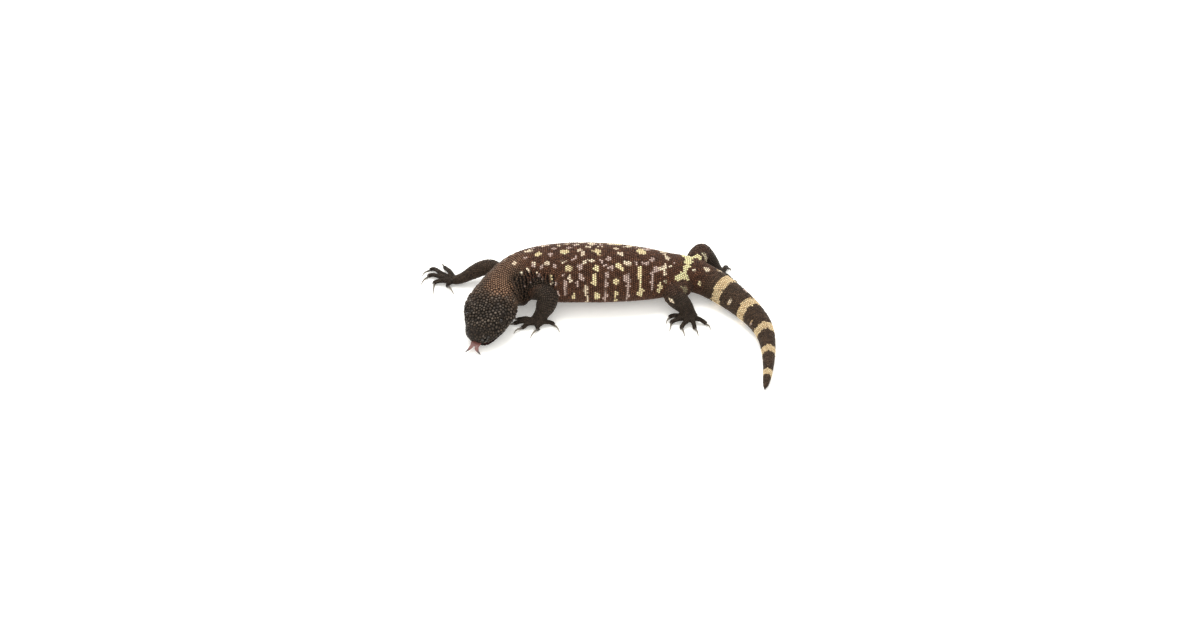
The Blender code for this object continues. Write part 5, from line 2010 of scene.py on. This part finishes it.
class LIZARD_OT_claws(bpy.types.Operator):
    """Grow a curved horn claw on every digit"""

    bl_idname = "lizard.claws"
    bl_label = "Claws"

    def execute(self, context):
        colours = context.scene.lizard_part
        for limb in LIMBS:
            kind, side = limb.split("_")
            for n, (_, claw) in enumerate(DIGITS[limb]):
                sweep = claw_sweep(SWEEPS[f"{limb}_{n + 1}"], claw)
                points, s, t, corners, counts = lofted(sweep, 0, sweep.length, 0.45, 18)
                node = f"claw_{ENDS[kind]}_{side}_{n + 1}"
                obj = add_mesh(f"{node}_horn", points, corners, counts, grained_material("claw_horn"))
                share = s / sweep.length
                shade = plain(colours.claw_root, points)
                shade = blend(shade, colours.claw, ramp(share, 0.05, 0.55))
                shade = shade * (1 + 0.12 * np.sin(t * 6))[:, None]
                paint(obj, shade, np.ones(len(points)))
                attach(obj, "root")
                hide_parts(node)
        return {"FINISHED"}


def between_jaws(along):
    """Height midway between the palate and the floor of the mouth."""
    return mouth_height(along) - math.tan(JAW_OPEN) * (MOUTH_CORNER - along) / 2


def tongue_shells():
    """The band of the tongue and its two prongs, as closed shells that overlap."""
    fork = head_point(TONGUE_FORK[0], TONGUE_ASIDE, TONGUE_FORK[1])
    lip = head_point(-0.5, TONGUE_ASIDE, between_jaws(-0.5))
    root = head_point(TONGUE_ROOT, TONGUE_ASIDE * 0.6, between_jaws(TONGUE_ROOT))
    middle = head_point(TONGUE_ROOT / 2, TONGUE_ASIDE, between_jaws(TONGUE_ROOT / 2))
    path = [root, middle, lip, fork]
    halves = [(TONGUE_HALF_WIDTH * share, thick, thick) for share, thick in TONGUE_GIRTH]
    girth = [(s, *h) for s, h in zip(lengths_along(path), halves)]
    band = Sweep(path, girth, None, TONGUE_SQUARENESS, TONGUE_SQUARENESS)
    shells = [lofted(band, 0, band.length, TONGUE_STEP, 48)]
    _, away, left, _ = (v[0] for v in band.frame(band.length))
    for tip, side in zip(TONGUE_TIPS, (1, -1)):
        begin = fork - PRONG_BURIED * away + side * PRONG_ASIDE * left
        line = [begin, begin + PRONG_STRAIGHT * away + side * PRONG_SPREAD * left, np.array(tip)]
        length = np.linalg.norm(line[1] - line[0]) + np.linalg.norm(line[2] - line[1])
        girth = [(length * share, wide, thick, thick) for share, wide, thick in PRONG_GIRTH]
        shells.append(lofted(Sweep(line, girth), 0, length, TONGUE_STEP, 28))
    return shells, band


class LIZARD_OT_tongue(bpy.types.Operator):
    """Put the forked tongue between the jaws"""

    bl_idname = "lizard.tongue"
    bl_label = "Tongue"

    def execute(self, context):
        colours = context.scene.lizard_part
        shells, band = tongue_shells()
        objects = [add_mesh("tongue_shell", s[0], s[3], s[4], None) for s in shells]
        obj = fused(join(objects), 0.00032)
        obj.name = obj.data.name = "tongue_flesh"
        mesh = obj.data
        edges = read_edges(mesh)
        points = smooth_evenly(read_points(mesh), edges, 8)
        centre, away, left, up = (v[0] for v in band.frame(band.length))
        offset = points - centre
        ahead = offset @ away
        groove = 0.45 * bell(offset @ left, 1.0) * (offset @ up > -0.2) * ramp(ahead, -14, -4)
        points = points - groove[:, None] * up
        points[:, 2] = np.maximum(points[:, 2], FLOOR + 0.3)
        write_points(mesh, points)
        mesh.shade_smooth()
        mesh.materials.clear()
        mesh.materials.append(grained_material("tongue_flesh"))
        tips = np.array(TONGUE_TIPS)
        gap = np.linalg.norm(points[:, None] - tips[None], axis=2).min(axis=1)
        shade = plain(colours.tongue, points)
        shade = blend(shade, colours.tongue_tip, 1 - ramp(gap + 0.6 * ripple(points), 2.5, 8.5))
        paint(obj, shade, np.ones(len(points)))
        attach(obj, "root")
        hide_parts("tongue")
        return {"FINISHED"}


class LIZARD_OT_stage(bpy.types.Operator):
    """Lay the pale floor and set the light and the camera"""

    bl_idname = "lizard.stage"
    bl_label = "Stage"

    def execute(self, context):
        stage = context.scene.lizard_stage
        make_floor(stage)
        make_light(stage)
        make_camera(stage)
        return {"FINISHED"}


def make_floor(stage):
    half = to_mm(stage.floor_size) / 2
    points = np.array([(-half, -half, 0), (half, -half, 0), (half, half, 0), (-half, half, 0)])
    material = grained_material("paper_floor")
    shader = material.node_tree.nodes["Principled BSDF"]
    # The floor glows a little: painted light that lifts the shadows on it
    shader.inputs["Emission Color"].default_value = (*stage.floor, 1)
    shader.inputs["Emission Strength"].default_value = stage.glow
    floor = add_mesh("floor", points, np.arange(4), np.array([4]), material)
    paint(floor, plain(stage.floor, points), np.ones(4))


def make_light(stage):
    """One soft light above and a little behind, and light from all sides."""
    world = bpy.data.worlds.new("studio")
    bpy.context.scene.world = world
    world.use_nodes = True
    background = world.node_tree.nodes["Background"]
    background.inputs["Color"].default_value = (1, 1, 1, 1)
    background.inputs["Strength"].default_value = stage.sky
    lamp = bpy.data.lights.new("overhead", "AREA")
    lamp.shape = "SQUARE"
    lamp.size = LAMP_SIZE
    lamp.energy = stage.light
    obj = bpy.data.objects.new("overhead", lamp)
    obj.location = LAMP_PLACE
    obj.rotation_euler = (-Vector(LAMP_PLACE)).to_track_quat("-Z", "Y").to_euler()
    bpy.context.scene.collection.objects.link(obj)
    bpy.context.scene.view_settings.view_transform = "Standard"


def make_camera(stage):
    camera = bpy.data.cameras.new("camera")
    camera.lens = stage.lens
    camera.sensor_width = 36
    obj = bpy.data.objects.new("camera", camera)
    bpy.context.scene.collection.objects.link(obj)
    back = Vector((0, -math.cos(stage.elevation), math.sin(stage.elevation)))
    place = Vector(stage.aim) + back * stage.distance
    obj.matrix_world = Matrix.Translation(place) @ Matrix.Rotation(math.pi / 2 - stage.elevation, 4, "X")
    bpy.context.scene.camera = obj


class LIZARD_PT_panel(bpy.types.Panel):
    """Lists the pieces of the lizard and their settings"""

    bl_idname = "LIZARD_PT_panel"
    bl_label = "Beaded Lizard"
    bl_space_type = "VIEW_3D"
    bl_region_type = "UI"
    bl_category = "Lizard"

    def draw(self, context):
        layout = self.layout
        for operator in OPERATORS:
            layout.operator(operator.bl_idname)
        for name, (title, _) in SETTINGS.items():
            box = layout.box()
            box.label(text=title)
            group = getattr(context.scene, name)
            for prop in group.bl_rna.properties.keys():
                if prop not in ("rna_type", "name"):
                    box.prop(group, prop)


OPERATORS = (
    LIZARD_OT_skin,
    LIZARD_OT_head_beads,
    LIZARD_OT_trunk_beads,
    LIZARD_OT_tail_beads,
    LIZARD_OT_limb_beads,
    LIZARD_OT_eyes,
    LIZARD_OT_claws,
    LIZARD_OT_tongue,
    LIZARD_OT_stage,
)
SETTINGS = {
    "lizard_skin": ("Skin", LizardSkinSettings),
    "lizard_beads": ("Beads", LizardBeadSettings),
    "lizard_marking": ("Markings", LizardMarkingSettings),
    "lizard_part": ("Eyes, Claws and Tongue", LizardPartSettings),
    "lizard_stage": ("Stage", LizardStageSettings),
}


def register():
    for name, (_, group) in SETTINGS.items():
        bpy.utils.register_class(group)
        setattr(bpy.types.Scene, name, PointerProperty(type=group))
    for cls in (*OPERATORS, LIZARD_PT_panel):
        bpy.utils.register_class(cls)


def unregister():
    for cls in reversed((*OPERATORS, LIZARD_PT_panel)):
        bpy.utils.unregister_class(cls)
    for name, (_, group) in SETTINGS.items():
        delattr(bpy.types.Scene, name)
        bpy.utils.unregister_class(group)


def main():
    register()
    bpy.ops.lizard.skin()
    bpy.ops.lizard.head_beads()
    bpy.ops.lizard.trunk_beads()
    bpy.ops.lizard.tail_beads()
    bpy.ops.lizard.limb_beads()
    bpy.ops.lizard.eyes()
    bpy.ops.lizard.claws()
    bpy.ops.lizard.tongue()
    bpy.ops.lizard.stage()


if __name__ == "__main__":
    main()
